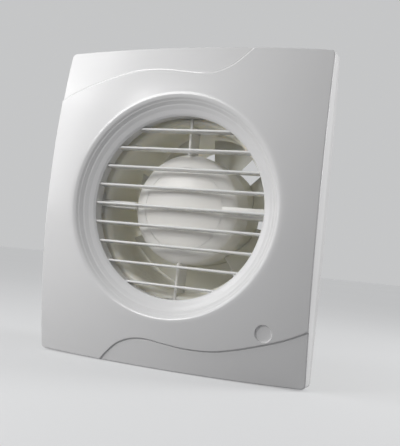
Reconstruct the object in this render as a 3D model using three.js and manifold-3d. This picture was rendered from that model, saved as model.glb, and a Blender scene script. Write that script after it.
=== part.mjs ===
// Surface-mounted axial extractor fan for a 100 mm duct.
// Millimetres, +Z up. The duct axis is Y: the room is at -Y, the wall plane is y = 0 and the spigot
// runs into the wall towards +Y. The origin is where the duct axis meets the wall plane.
import * as THREE from 'three';
import { mergeVertices } from 'three/addons/utils/BufferGeometryUtils.js';
import Module from 'manifold-3d';

const wasm = await Module();
wasm.setup();

// ---- Driving dimensions -------------------------------------------------------------------------

// Clearances between pieces that touch or run in each other.
const seatGap = 0.3;
const tipClearance = 1.3;
const hubRunningGap = 1.6;

// Front panel: a rectangle with slightly bowed sides and a face that is domed both ways.
const panelWidth = 160;
const panelHeight = 176;
const panelSideBow = 0.7;
const panelCornerRadius = 2.6;
const panelEdgeDepth = 10;
const panelBulgeAcross = 7;
const panelBulgeUp = 9;
const panelWall = 2.2;
const panelEdgeChamfer = 0.7;
const bandStep = 0.8;
// Crest line that parts the raised band from the upper left corner field, as shares of the panel's
// half width and half height. The lower right field has the same line, turned half a turn.
const crestLine = [
  [-1.025, 0.655], [-0.855, 0.728], [-0.675, 0.784], [-0.531, 0.822], [-0.375, 0.851],
  [-0.188, 0.857], [-0.025, 0.844], [0.113, 0.832], [0.225, 0.845], [0.325, 0.886],
  [0.406, 0.95], [0.5, 1.045],
];

// Funnel ring round the opening, and the blind recess below it.
const funnelWidth = 10;
const lipSetback = 8.1;
const ringWall = 2;
const recessRadius = 4.4;
const recessDepth = 1;
const recessFromSide = 22.3;
const recessFromBottom = 26.3;

// Slats and the insert ring that carries them.
const slatCount = 9;
const slatPitch = 10.8;
const slatFrontThickness = 1.3;
const slatRearThickness = 1;
const slatDepth = 6.4;
const slatTilt = 7;
const insertWall = 1.4;
const insertDepth = 6.6;
const lugWidth = 8;
const lugHeight = 2;
const lugReach = 0.9;
const collarWall = 1.7;

// Base frame: wall plate, bell mouth and duct spigot.
const plateInset = 6;
const plateThickness = 2.4;
const plateCornerRadius = 8;
const plateRimWall = 1.6;
const plateRimHeight = 5;
const ductRadius = 47.5;
const spigotWall = 1.8;
const spigotLength = 78;
const mouthRise = 1.8;
const mouthFlare = 2.7;
const mouthFlareLength = 5.7;
const mouthWidth = 8;
const plateRibWall = 1.4;
const plateRibHeight = 3.6;
const plateRibAngles = [112.5, 157.5, 202.5, 247.5, 292.5, 337.5];
const fixingSlotLength = 10;
const fixingSlotWidth = 4.8;
const fixingSlotFromSide = 8;
const fixingSlotZ = 38;
const pegRadius = 2;
const pegHeight = 6.6;
const pegFromEdge = 12;
const pegSocketWall = 1.7;
const pegSocketGap = 3.6;

// Motor housing: cup, four arms and their feet.
const housingRadius = 31.3;
const housingWall = 1.9;
const housingRearY = 18;
const shoulderRise = 6.6;
const shoulderStartY = 1.2;
const capRadius = 23.3;
const capDome = 1.2;
const capEdge = 1.7;
const capLedge = 2.1;
const capLedgeThickness = 1.6;
const capSkirtWall = 1.5;
const capSkirtLength = 2.2;
const armFrontY = -4;
const armRearY = 8;
const thinArmWall = 1.5;
const broadArmWidth = 4;
const channelArmWidth = 6;
const channelArmRise = 1;
const armWall = 1.2;
const footWidth = 12;
const footThickness = 1.5;
const footPinRadius = 1.2;
const footPinSpacing = 8;
const leadRadius = 0.65;
const leadSpacing = 1.7;
const leadY = -3.35;
const channelLidThickness = 1;
const channelLidTongue = 1;
const channelTongueLength = 8;

// Motor: C-core stator, coil on its lower limb, cage rotor, two bearing brackets.
const coreThickness = 10;
const coreFrontY = 2.6;
const coreHalfWidth = 17;
const coreTopZ = 15.5;
const coreCorner = 2.5;
const coreLegOuter = 15;
const coreLegInner = 8.5;
const coreNeckZ = -13;
const poleBridge = 2.2;
const limbHeight = 5.6;
const rotorRadius = 10.2;
const airGap = 0.5;
const bobbinWall = 0.9;
const bobbinFlange = 1;
const pinSpacing = 3.4;
const bobbinLip = 0.2;
const windingBuild = 1.8;
const shadingWidth = 1.6;
const shadingThickness = 1.1;
const shadingInnerReach = 0.3;
const shadingSpan = 5.5;
const shadingAngles = [135, 315];
const boltX = 14.5;
const boltRadius = 1.4;
const boltHeadRadius = 2.6;
const boltHeadHeight = 1.5;
const boltEndReach = 0.9;
const bracketHalfWidth = 4;
const bracketThickness = 1.4;
const bracketStandoff = 1.1;
const bracketFootLength = 5;
const bearingRadius = 3.6;
const bearingLength = 4;
const bearingBossWall = 1.3;
const bearingEndWall = 0.6;
const shaftRadius = 1.6;
const shaftEndY = 44;
const thrustWasherThickness = 0.6;
const thrustWasherRadius = 3.4;

// Rear cover of the motor housing.
const rearCoverThickness = 1.7;
const rearScrewCircle = 26.4;
const rearScrewAngles = [90, 210, 330];
const rearScrewBossRadius = 2.8;
const rearScrewBossLength = 12;
const rearScrewRadius = 1;
const rearScrewHeadRadius = 2.1;
const rearScrewHeadHeight = 0.8;
const rearScrewLength = 8;

// Impeller: hub cup with seven broad twisted blades.
const bladeCount = 7;
const hubRadius = 30.5;
const hubWall = 1.6;
const hubLength = 20.4;
const hubCornerRadius = 2;
const hubBossRadius = 4.6;
const hubBossLength = 18.9;
const hubRibWall = 1.2;
const hubRibLength = 12;
const bladeFirstAngle = 70.3;
const bladeSpanAngle = 43;
const bladeThickness = 1.7;
const bladeInsetAtFront = 1;
const bladeRootLength = 18.4;
const bladeTipLength = 14.5;
const bladeTipInset = 2.2;
const bladeCamber = 1.6;
const washerRadius = 4.2;
const washerThickness = 0.8;
const nutAcrossFlats = 7;
const nutHeight = 3.4;

// Terminal block, its clamps, and the cable entry.
const terminalFromSide = 20;
const terminalFromTop = 24;
const terminalPoles = 2;
const terminalPitch = 8;
const terminalHeight = 9.4;
const terminalLength = 12;
const terminalWall = 1.3;
const clampBore = 1.5;
const clampWall = 1;
const terminalScrewRadius = 0.95;
const terminalScrewHeadRadius = 1.6;
const terminalScrewSpacing = 6;
const fixingScrewRadius = 1.2;
const fixingScrewHeadRadius = 2.2;
const fixingHeadWidth = 1.8;
const fixingHeadHeight = 1.2;
const fixingHeadSeat = 2.6;
const grommetFromClamp = 14;
const grommetFromTop = 11.5;
const grommetHole = 5.5;
const grommetBore = 3.2;
const grommetFlange = 1.6;
const cableClampFromBlock = 16;
const cableClampFromTop = 12;
const cableClampSpacing = 9;
const cableClampWidth = 5;
const cableClampThickness = 2;
const cableClampBossRadius = 2.4;
const cableClampBossHeight = 3.4;

// Facets round a full turn, for large, middling and small round features.
const roundLarge = 36;
const roundMedium = 16;
const roundSmall = 8;
const roundCorner = 3;

// ---- Derived places -----------------------------------------------------------------------------

const panelHalfX = panelWidth / 2;
const panelHalfZ = panelHeight / 2;
const lipRadius = ductRadius + mouthFlare;
const ringRadius = lipRadius + funnelWidth;
const recessX = panelHalfX - recessFromSide;
const recessZ = recessFromBottom - panelHalfZ;
const plateWidth = panelWidth - 2 * plateInset;
const plateHeight = panelHeight - 2 * plateInset;
const fixingSlotX = plateWidth / 2 - fixingSlotFromSide;
const pegX = plateWidth / 2 - pegFromEdge;
const pegZ = plateHeight / 2 - pegFromEdge;
const terminalX = plateWidth / 2 - terminalFromSide;
const terminalZ = plateHeight / 2 - terminalFromTop;
const cableClampX = terminalX - cableClampFromBlock;
const grommetX = cableClampX - grommetFromClamp;
const grommetZ = plateHeight / 2 - grommetFromTop;
const cableClampZ = plateHeight / 2 - cableClampFromTop;
const faceY = (x, z) => {
  const across = 1 - (x / panelHalfX) ** 2;
  const up = 1 - (z / panelHalfZ) ** 2;
  return -(panelEdgeDepth + panelBulgeAcross * across + panelBulgeUp * up);
};
const ringRimY = (faceY(ringRadius, 0) + faceY(0, ringRadius)) / 2;
const lipY = ringRimY + lipSetback;
const plateFrontY = -plateThickness;
const mouthY = plateFrontY - mouthRise;
const mouthRadius = ductRadius + mouthWidth;
const spigotRadius = ductRadius + spigotWall;
const collarEndY = mouthY - seatGap;
const insertSeatY = lipY + 0.4;
const insertOuter = lipRadius + insertWall + 0.9;
const insertInner = insertOuter - insertWall;
const collarInner = insertOuter + seatGap;
const collarOuter = collarInner + collarWall;
const insertFrontY = insertSeatY + seatGap;
const slatFrontY = insertFrontY - 0.2;
const housingInner = housingRadius - housingWall;
const shoulderFrontY = shoulderStartY - shoulderRise;
const capHole = capRadius + seatGap;
const capLedgeY = shoulderFrontY + capEdge + seatGap;
const capLedgeRear = capLedgeY + capLedgeThickness;
const capLedgeRadius = capHole - capLedge;
const armEnd = ductRadius - seatGap;
const footRearY = plateFrontY - seatGap;
const footFrontY = footRearY - footThickness;
const footStart = lipRadius + 0.4;
const footEnd = mouthRadius - 0.4;
const footPinCircle = ductRadius + mouthWidth * 0.62;
const channelFrontY = armFrontY - channelArmRise;
const grooveHalf = leadSpacing / 2 + leadRadius + seatGap;
const grooveFloorY = leadY + leadRadius + seatGap;
const leadHoleInner = capHole + 1.6;
const leadHoleOuter = leadHoleInner + 3.6;
const coreRearY = coreFrontY + coreThickness;
const coreMidY = (coreFrontY + coreRearY) / 2;
const boreRadius = rotorRadius + airGap;
const bobbinGrow = seatGap + bobbinWall + windingBuild + bobbinLip;
const windowTopZ = -(boreRadius + poleBridge);
const limbTopZ = windowTopZ - seatGap - bobbinGrow;
const limbBottomZ = limbTopZ - limbHeight;
const boltHole = boltRadius + seatGap;
const rearCoverFrontY = housingRearY - rearCoverThickness;
const shaftHole = shaftRadius + seatGap;
const bearingSeat = bearingRadius + seatGap;
const bearingBoss = bearingSeat + bearingBossWall;
const thrustFrontY = coreFrontY - seatGap - thrustWasherThickness;
const bearingRearEnd = thrustFrontY - seatGap;
const bearingFrontEnd = bearingRearEnd - bearingLength;
const bossFrontY = bearingFrontEnd - seatGap - bearingEndWall;
const shaftStartY = bearingFrontEnd + seatGap;
const hubFrontY = housingRearY + hubRunningGap;
const hubRearY = hubFrontY + hubLength;
const hubBossRearY = hubFrontY + hubBossLength;
const bladeTipRadius = ductRadius - tipClearance;
const washerY = hubBossRearY + seatGap;
const nutY = washerY + washerThickness + seatGap;
const terminalBaseY = plateFrontY - seatGap;

// ---- Geometry helpers ---------------------------------------------------------------------------

const toRadians = (degrees) => degrees * Math.PI / 180;

function triangleList(geometry) {
  const bare = geometry.clone();
  bare.deleteAttribute('normal');
  bare.deleteAttribute('uv');
  const merged = mergeVertices(bare, 1e-4);
  const corners = Array.from(merged.index.array);
  const kept = [];
  for (let i = 0; i < corners.length; i += 3) {
    const [a, b, c] = corners.slice(i, i + 3);
    if (a !== b && b !== c && c !== a) kept.push(a, b, c);
  }
  return { vertices: merged.attributes.position.array, corners: kept };
}

function signedVolume(vertices, corners) {
  const [a, b, c] = [new THREE.Vector3(), new THREE.Vector3(), new THREE.Vector3()];
  let total = 0;
  for (let i = 0; i < corners.length; i += 3) {
    a.fromArray(vertices, 3 * corners[i]);
    b.fromArray(vertices, 3 * corners[i + 1]);
    c.fromArray(vertices, 3 * corners[i + 2]);
    total += a.dot(b.cross(c)) / 6;
  }
  return total;
}

// A closed mesh as a solid, turned the right way out.
function solid(geometry) {
  const { vertices, corners } = triangleList(geometry);
  if (signedVolume(vertices, corners) < 0) corners.reverse();
  return new wasm.Manifold(new wasm.Mesh({
    numProp: 3,
    vertProperties: new Float32Array(vertices),
    triVerts: new Uint32Array(corners),
  }));
}

const join = (solids) => solids.reduce((sum, next) => sum.add(next));
const cut = (body, tools) => tools.reduce((rest, tool) => rest.subtract(tool), body);

function geometryOf(body) {
  const mesh = body.getMesh();
  const geometry = new THREE.BufferGeometry();
  geometry.setAttribute('position', new THREE.BufferAttribute(mesh.vertProperties, 3));
  geometry.setIndex(new THREE.BufferAttribute(mesh.triVerts, 1));
  geometry.computeVertexNormals();
  return geometry;
}

// A solid of revolution about the duct axis, from a closed profile of [radius, y].
function revolve(profile, segments = roundLarge) {
  const points = profile.map(([radius, y]) => new THREE.Vector2(radius, y));
  if (profile[0][0] > 0) points.push(points[0].clone());
  return solid(new THREE.LatheGeometry(points, segments));
}

function tubeRing(inner, outer, startY, endY, segments = roundLarge) {
  return revolve([[inner, startY], [outer, startY], [outer, endY], [inner, endY]], segments);
}

function disc(radius, startY, endY, segments = roundLarge) {
  return revolve([[0, startY], [radius, startY], [radius, endY], [0, endY]], segments);
}

// A round bar along Y at (x, z).
function bar(x, z, radius, startY, endY, segments = roundSmall) {
  return disc(radius, startY, endY, segments).translate([x, 0, z]);
}

// A flat outline in the XZ plane, given as a THREE.Shape, made solid between two y values.
function slab(shape, startY, endY) {
  const geometry = new THREE.ExtrudeGeometry(shape, {
    depth: endY - startY, bevelEnabled: false, curveSegments: roundCorner,
  });
  geometry.rotateX(Math.PI / 2);
  geometry.translate(0, endY, 0);
  return solid(geometry);
}

function block(x, y, z) {
  const geometry = new THREE.BoxGeometry(x[1] - x[0], y[1] - y[0], z[1] - z[0]);
  geometry.translate((x[0] + x[1]) / 2, (y[0] + y[1]) / 2, (z[0] + z[1]) / 2);
  return solid(geometry);
}

function roundedRectangle(width, height, radius) {
  const [x, z] = [width / 2, height / 2];
  const shape = new THREE.Shape();
  shape.absarc(x - radius, z - radius, radius, 0, Math.PI / 2);
  shape.absarc(-x + radius, z - radius, radius, Math.PI / 2, Math.PI);
  shape.absarc(-x + radius, -z + radius, radius, Math.PI, 1.5 * Math.PI);
  shape.absarc(x - radius, -z + radius, radius, 1.5 * Math.PI, 2 * Math.PI);
  shape.closePath();
  return shape;
}

const polygon = (points) => new THREE.Shape(points.map(([x, z]) => new THREE.Vector2(x, z)));

// Turned about the duct axis, counted from +X towards +Z.
const turned = (body, degrees) => body.rotate([0, -degrees, 0]);

// A block on a radius of the duct, given by its radial reach, y range and width.
function radialBlock(reach, y, width, angle) {
  return turned(block(reach, y, [-width / 2, width / 2]), angle);
}

// A point on a circle round the duct axis, as [x, z].
function onCircle(radius, degrees) {
  return [radius * Math.cos(toRadians(degrees)), radius * Math.sin(toRadians(degrees))];
}

function tubeAlong(curve, radius, steps, sides = 6) {
  const section = new THREE.Shape();
  for (let i = 0; i < sides; i += 1) {
    const angle = 2 * Math.PI * i / sides;
    section[i ? 'lineTo' : 'moveTo'](radius * Math.cos(angle), radius * Math.sin(angle));
  }
  section.closePath();
  return solid(new THREE.ExtrudeGeometry(section, { steps, extrudePath: curve, bevelEnabled: false }));
}

// A skin over closed loops that all have the same number of points, closed at both ends to a centre.
function skin(loops, startCentre, endCentre) {
  const count = loops[0].length;
  const vertices = [...loops.flat(), startCentre, endCentre];
  const start = loops.length * count;
  const triangles = [];
  for (let i = 0; i < count; i += 1) {
    const next = (i + 1) % count;
    triangles.push(start, next, i);
    const last = start - count;
    triangles.push(start + 1, last + i, last + next);
    for (let k = 0; k + 1 < loops.length; k += 1) {
      const [low, high] = [k * count, (k + 1) * count];
      triangles.push(low + i, low + next, high + i, low + next, high + next, high + i);
    }
  }
  const geometry = new THREE.BufferGeometry();
  geometry.setAttribute('position', new THREE.Float32BufferAttribute(vertices.flat(), 3));
  geometry.setIndex(triangles);
  return solid(geometry);
}

// ---- Materials ----------------------------------------------------------------------------------

const finish = (color, roughness, metalness = 0) =>
  new THREE.MeshStandardMaterial({ color, roughness, metalness });
const glossWhite = finish(0xf1f1f3, 0.22);
const innerWhite = finish(0xe6e5df, 0.38);
const softWhite = finish(0xdddcd4, 0.45);
const paleGrey = finish(0xc9c9c4, 0.5);
const silicon = finish(0x8f9296, 0.42, 0.9);
const zinc = finish(0xb8babb, 0.35, 1);
const bronze = finish(0x9a7347, 0.45, 0.9);
const copper = finish(0xb5673a, 0.4, 0.9);
const enamel = finish(0x9a4522, 0.35, 0.3);
const steel = finish(0xcfd2d4, 0.2, 1);
const brass = finish(0xb99a55, 0.3, 1);
const rubber = finish(0x2b2b2c, 0.75);
const brownLead = finish(0x5a3322, 0.5);
const blueLead = finish(0x2c58a0, 0.5);
const nylon = finish(0xcfc9b8, 0.5);

const part = new THREE.Group();
function piece(name, body, material) {
  const mesh = new THREE.Mesh(geometryOf(body), material);
  mesh.name = name;
  part.add(mesh);
}

// Alike pieces, numbered from 1.
function pieces(name, bodies, material) {
  bodies.forEach((body, i) => piece(`${name}_${i + 1}`, body, material));
}

// ---- Front cover --------------------------------------------------------------------------------

// Panel outline as [x, z], drawn inwards by an inset.
function panelOutline(inset) {
  const [halfX, halfZ] = [panelHalfX - inset, panelHalfZ - inset];
  const radius = Math.max(panelCornerRadius - inset, 0.6);
  const [sideSteps, cornerSteps] = [8, 2];
  const corners = [[1, 1], [-1, 1], [-1, -1], [1, -1]];
  const points = [];
  corners.forEach(([sideX, sideZ], quarter) => {
    const [centreX, centreZ] = [sideX * (halfX - radius), sideZ * (halfZ - radius)];
    for (let i = 0; i <= cornerSteps; i += 1) {
      const [dx, dz] = onCircle(radius, 90 * (quarter + i / cornerSteps));
      points.push([centreX + dx, centreZ + dz]);
    }
    const [nextX, nextZ] = corners[(quarter + 1) % 4];
    const [endDx, endDz] = onCircle(radius, 90 * (quarter + 1));
    const [fromX, fromZ] = [centreX + endDx, centreZ + endDz];
    const toX = nextX * (halfX - radius) + endDx;
    const toZ = nextZ * (halfZ - radius) + endDz;
    for (let i = 1; i < sideSteps; i += 1) {
      const t = i / sideSteps;
      points.push([fromX + (toX - fromX) * t, fromZ + (toZ - fromZ) * t]);
    }
  });
  return points.map(([x, z]) => [
    x + panelSideBow * (1 - (z / halfZ) ** 2) * x / halfX,
    z + panelSideBow * (1 - (x / halfX) ** 2) * z / halfZ,
  ]);
}

// The domed block inside the panel outline: face lowered by a drop, back flat at backY.
function domedBlock(inset, drop, backY, chamfer) {
  const rim = panelOutline(inset);
  const edge = panelOutline(inset + chamfer);
  const onFace = ([x, z]) => [x, faceY(x, z) + drop, z];
  const loops = [
    rim.map(([x, z]) => [x, backY, z]),
    rim.map(([x, z]) => [x, faceY(x, z) + drop + chamfer, z]),
    edge.map(onFace),
    ...[0.83, 0.6, 0.3].map((share) => edge.map(([x, z]) => onFace([x * share, z * share]))),
  ];
  return skin(loops, [0, backY, 0], onFace([0, 0]));
}

// Outline beyond the crest line, out past the panel's upper left corner.
function cornerField() {
  const crest = new THREE.SplineCurve(
    crestLine.map(([across, up]) => new THREE.Vector2(across * panelHalfX, up * panelHalfZ)),
  );
  const points = crest.getPoints(2 * crestLine.length).map((point) => [point.x, point.y]);
  const reach = 2 * panelHalfZ;
  return polygon([...points, [points.at(-1)[0], reach], [-reach, reach], [-reach, points[0][1]]]);
}

// Stepped, rounded profile of the funnel, from its rim on the face down to the lip.
function funnelProfile() {
  const wall = ringRadius - lipRadius;
  const fall = lipSetback;
  return [
    [ringRadius + 0.9, ringRimY - 1.2],
    [ringRadius + 0.15, ringRimY + 0.1],
    [ringRadius - 0.5, ringRimY + 0.1 * fall],
    [ringRadius - 0.14 * wall, ringRimY + 0.3 * fall],
    [ringRadius - 0.34 * wall, ringRimY + 0.42 * fall],
    [ringRadius - 0.46 * wall, ringRimY + 0.72 * fall],
    [ringRadius - 0.75 * wall, ringRimY + 0.82 * fall],
    [ringRadius - 0.93 * wall, ringRimY + 0.9 * fall],
    [lipRadius, lipY],
  ];
}

function frontCover() {
  const outside = ringRimY - 20;
  const field = slab(cornerField(), outside, 1);
  const fields = field.add(turned(field, 180));
  const raised = domedBlock(0, 0, 0, panelEdgeChamfer).subtract(fields);
  const outer = domedBlock(0, bandStep, 0, panelEdgeChamfer).add(raised);
  const cavity = domedBlock(panelWall, panelWall + bandStep, 1, panelEdgeChamfer);
  const fall = lipSetback;
  const collar = revolve([
    [0, outside],
    [ringRadius + ringWall, outside],
    [ringRadius + ringWall, ringRimY + 0.42 * fall],
    [collarOuter, lipY + ringWall / 2],
    [collarOuter, collarEndY],
    [0, collarEndY],
  ]);
  const opening = revolve([
    [0, outside],
    [ringRadius + 0.9, outside],
    ...funnelProfile(),
    [lipRadius, insertSeatY],
    [collarInner, insertSeatY],
    [collarInner, 1],
    [0, 1],
  ]);
  const sockets = [];
  const socketBores = [];
  for (const [x, z] of pegPlaces()) {
    const socketEndY = plateFrontY - pegSocketGap;
    const rootY = faceY(x, z) + bandStep + panelWall / 2;
    sockets.push(bar(x, z, pegRadius + seatGap + pegSocketWall, rootY, socketEndY));
    socketBores.push(bar(x, z, pegRadius + seatGap, plateFrontY - pegHeight - 2 * seatGap, 0));
  }
  const windows = lugAngles().map((angle) => turned(block(
    [collarInner - 1, collarOuter + 1],
    [lugY() - lugHeight / 2 - seatGap, lugY() + lugHeight / 2 + seatGap],
    [-lugWidth / 2 - seatGap, lugWidth / 2 + seatGap],
  ), angle));
  const recessFloorY = faceY(recessX, recessZ) + recessDepth;
  const recess = bar(recessX, recessZ, recessRadius, outside, recessFloorY, roundMedium);
  const shell = outer.subtract(cavity.subtract(collar));
  return cut(join([shell, ...sockets]), [opening, ...socketBores, ...windows, recess]);
}

// ---- Slat grille --------------------------------------------------------------------------------

const lugAngles = () => [45, 135, 225, 315];
const lugY = () => insertFrontY + insertDepth * 0.45;

// Slat section in the YZ plane: round front edge, slight taper, sloping down towards the duct.
function slatSection() {
  const front = slatFrontThickness / 2;
  const rear = slatRearThickness / 2;
  const points = [];
  for (const angle of [90, 135, 180, 225, 270]) {
    const [y, z] = onCircle(front, angle);
    points.push([front + y, z]);
  }
  points.push([slatDepth - rear, -rear], [slatDepth, 0], [slatDepth - rear, rear]);
  const [cos, sin] = [Math.cos(toRadians(slatTilt)), Math.sin(toRadians(slatTilt))];
  return points.map(([y, z]) => [y * cos + z * sin, z * cos - y * sin]);
}

function slat(z) {
  const section = polygon(slatSection());
  const geometry = new THREE.ExtrudeGeometry(section, { depth: 2 * insertOuter, bevelEnabled: false });
  geometry.applyMatrix4(new THREE.Matrix4().makeBasis(
    new THREE.Vector3(0, 1, 0), new THREE.Vector3(0, 0, 1), new THREE.Vector3(1, 0, 0),
  ));
  geometry.translate(-insertOuter, slatFrontY, z);
  return solid(geometry);
}

function slatGrille() {
  const trim = disc((insertInner + insertOuter) / 2, slatFrontY - 1, slatFrontY + slatDepth + 1);
  const slats = [];
  for (let i = 0; i < slatCount; i += 1) slats.push(slat((i - (slatCount - 1) / 2) * slatPitch));
  const ring = tubeRing(insertInner, insertOuter, insertFrontY, insertFrontY + insertDepth);
  const lugs = lugAngles().map((angle) => turned(block(
    [insertInner + insertWall / 2, insertOuter + lugReach],
    [lugY() - lugHeight / 2, lugY() + lugHeight / 2],
    [-lugWidth / 2, lugWidth / 2],
  ), angle));
  return join([join(slats).intersect(trim), ring, ...lugs]);
}

// ---- Base frame ---------------------------------------------------------------------------------

const pegPlaces = () => [[pegX, pegZ], [-pegX, pegZ], [-pegX, -pegZ], [pegX, -pegZ]];
const cableBossPlaces = () =>
  [-1, 1].map((side) => [cableClampX, cableClampZ + side * cableClampSpacing / 2]);
const footAngles = [0, 90, 180, 270];
const armWidths = [channelArmWidth, thinArmWall, broadArmWidth, thinArmWall];

function fixingSlot(x, z) {
  const half = (fixingSlotLength - fixingSlotWidth) / 2;
  const round = fixingSlotWidth / 2;
  const shape = new THREE.Shape();
  shape.absarc(x, z + half, round, 0, Math.PI);
  shape.absarc(x, z - half, round, Math.PI, 2 * Math.PI);
  shape.closePath();
  return slab(shape, plateFrontY - 1, 1);
}

function plateRib(angle) {
  const reach = Math.hypot(plateWidth, plateHeight) / 2;
  const rib = turned(block(
    [mouthRadius - 1, reach],
    [plateFrontY - plateRibHeight, plateFrontY + 0.5],
    [-plateRibWall / 2, plateRibWall / 2],
  ), angle);
  const inset = plateRimWall;
  const shape = roundedRectangle(plateWidth - inset, plateHeight - inset, plateCornerRadius - inset / 2);
  return rib.intersect(slab(shape, plateFrontY - plateRimHeight, 0));
}

function baseFrame() {
  const outline = roundedRectangle(plateWidth, plateHeight, plateCornerRadius);
  const inner = roundedRectangle(
    plateWidth - 2 * plateRimWall, plateHeight - 2 * plateRimWall, plateCornerRadius - plateRimWall,
  );
  const plate = slab(outline, plateFrontY, 0);
  const rim = slab(outline, plateFrontY - plateRimHeight, 0).subtract(
    slab(inner, plateFrontY - plateRimHeight - 1, 1));
  const mouth = disc(mouthRadius, mouthY, 0);
  const spigot = revolve([
    [0, -1], [spigotRadius, -1], [spigotRadius, spigotLength - 3],
    [spigotRadius - 0.6, spigotLength], [0, spigotLength],
  ]);
  const bore = revolve([
    [0, mouthY - 1],
    [ductRadius + mouthFlare, mouthY - 1],
    [ductRadius + mouthFlare, mouthY],
    ...[30, 60].map((angle) => [
      ductRadius + mouthFlare * (1 - Math.sin(toRadians(angle))),
      mouthY + mouthFlareLength * (1 - Math.cos(toRadians(angle))),
    ]),
    [ductRadius, mouthY + mouthFlareLength],
    [ductRadius, spigotLength + 1],
    [0, spigotLength + 1],
  ]);
  const pegs = pegPlaces().map(([x, z]) => bar(x, z, pegRadius, plateFrontY - pegHeight, -0.5));
  const cableBosses = cableBossPlaces().map(([x, z]) =>
    bar(x, z, cableClampBossRadius, plateFrontY - cableClampBossHeight, -0.5));
  const footPockets = footAngles.flatMap((angle, i) => [
    radialBlock([ductRadius - 1, footStart], [mouthY - 1, plateFrontY], armWidths[i] + 2 * seatGap, angle),
    radialBlock(
      [footStart - seatGap, mouthRadius + 1],
      [mouthY - 1, plateFrontY], footWidth + 2 * seatGap, angle,
    ),
  ]);
  const holes = [grommetHoleBar()];
  for (const angle of footAngles) {
    for (const side of [-1, 1]) {
      const pin = bar(footPinCircle, side * footPinSpacing / 2, footPinRadius + seatGap, -9, 1);
      holes.push(turned(pin, angle));
    }
  }
  for (const x of [-fixingSlotX, fixingSlotX]) {
    for (const z of [-fixingSlotZ, fixingSlotZ]) holes.push(fixingSlot(x, z));
  }
  for (const [x, z] of cableBossPlaces()) {
    holes.push(bar(x, z, fixingScrewRadius + seatGap, plateFrontY - cableClampBossHeight - 1, 1));
  }
  holes.push(bar(terminalX, terminalZ, fixingScrewRadius + seatGap, plateFrontY - 1, 1));
  const body = join([plate, rim, mouth, spigot, ...pegs, ...cableBosses, ...plateRibAngles.map(plateRib)]);
  return cut(body, [bore, ...footPockets, ...holes]);
}

function grommetHoleBar() {
  return bar(grommetX, grommetZ, grommetHole, plateFrontY - 1, 1, roundMedium);
}

// ---- Motor housing ------------------------------------------------------------------------------

const shoulderArc = (radius, rise, startY, angles) => angles.map((angle) => [
  radius[0] + (radius[1] - radius[0]) * Math.cos(toRadians(angle)),
  startY - rise * Math.sin(toRadians(angle)),
]);

function housingOutside() {
  return revolve([
    [0, shoulderFrontY],
    ...shoulderArc([capHole, housingRadius], shoulderRise, shoulderStartY, [90, 68, 45, 22, 0]),
    [housingRadius, housingRearY],
    [0, housingRearY],
  ]);
}

function housingInside() {
  const rise = shoulderStartY + 0.8 - capLedgeRear;
  return revolve([
    [0, shoulderFrontY - 1],
    [capHole, shoulderFrontY - 1],
    [capHole, capLedgeY],
    [capLedgeRadius, capLedgeY],
    [capLedgeRadius, capLedgeRear],
    ...shoulderArc([capLedgeRadius + 2, housingInner], rise, shoulderStartY + 0.8, [90, 45, 0]),
    [housingInner, housingRearY + 1],
    [0, housingRearY + 1],
  ]);
}

function rearScrewBosses(radius, startY, endY) {
  return rearScrewAngles.map((angle) => {
    const [x, z] = onCircle(rearScrewCircle, angle);
    return bar(x, z, radius, startY, endY);
  });
}

function arm(width, frontY) {
  return block([capHole - 2, armEnd], [frontY, armRearY], [-width / 2, width / 2]);
}

// An arm hollowed from behind, so that it is a channel with a closed front.
function channelArm(width, frontY, webY) {
  const hollow = block(
    [housingRadius + armWall, armEnd - armWall],
    [webY, armRearY + 1],
    [-width / 2 + armWall, width / 2 - armWall],
  );
  return arm(width, frontY).subtract(hollow);
}

function foot(width) {
  const neck = block([armEnd - 2, footStart + 1], [footFrontY, footRearY], [-width / 2, width / 2]);
  const tab = block([footStart, footEnd], [footFrontY, footRearY], [-footWidth / 2, footWidth / 2]);
  const pins = [-1, 1].map((side) =>
    bar(footPinCircle, side * footPinSpacing / 2, footPinRadius, footRearY - 0.2, -seatGap));
  return join([neck, tab, ...pins]);
}

function motorHousing() {
  const arms = [
    channelArm(channelArmWidth, channelFrontY, grooveFloorY + armWall),
    turned(arm(thinArmWall, armFrontY), 90),
    turned(channelArm(broadArmWidth, armFrontY, armFrontY + armWall), 180),
    turned(arm(thinArmWall, armFrontY), 270),
  ];
  const feet = footAngles.map((angle, i) => turned(foot(armWidths[i]), angle));
  const shell = join([housingOutside(), ...arms, ...feet]).subtract(housingInside());
  const bossEndY = rearCoverFrontY - seatGap;
  const bossY = [bossEndY - rearScrewBossLength, bossEndY];
  const bosses = rearScrewBosses(rearScrewBossRadius, ...bossY);
  const bossWebs = rearScrewAngles.map((angle) =>
    radialBlock([rearScrewCircle, housingInner + housingWall / 2], bossY, rearScrewBossRadius, angle));
  const pilots = rearScrewBosses(
    rearScrewRadius + seatGap, rearCoverFrontY - rearScrewLength - 2, rearCoverFrontY + 1,
  );
  const across = [-grooveHalf, grooveHalf];
  const leadHole = block([leadHoleInner, leadHoleOuter], [grooveFloorY - 1, armRearY / 2], across);
  const groove = block([leadHoleInner, footEnd + 1], [channelFrontY - 1, grooveFloorY], across);
  return cut(join([shell, ...bosses, ...bossWebs]), [...pilots, leadHole, groove]);
}

function motorCap() {
  const [edgeY, rearY] = [shoulderFrontY, shoulderFrontY + capEdge];
  const skirtOuter = capLedgeRadius - seatGap;
  const face = [0, 0.5, 0.85].map((share) => [capRadius * share, edgeY - capDome * (1 - share ** 2)]);
  return revolve([
    ...face,
    [capRadius - 0.4, edgeY],
    [capRadius, edgeY + 0.4],
    [capRadius, rearY],
    [skirtOuter, rearY],
    [skirtOuter, rearY + capSkirtLength],
    [skirtOuter - capSkirtWall, rearY + capSkirtLength],
    [skirtOuter - capSkirtWall, rearY],
    [0, rearY],
  ], roundLarge);
}

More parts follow.
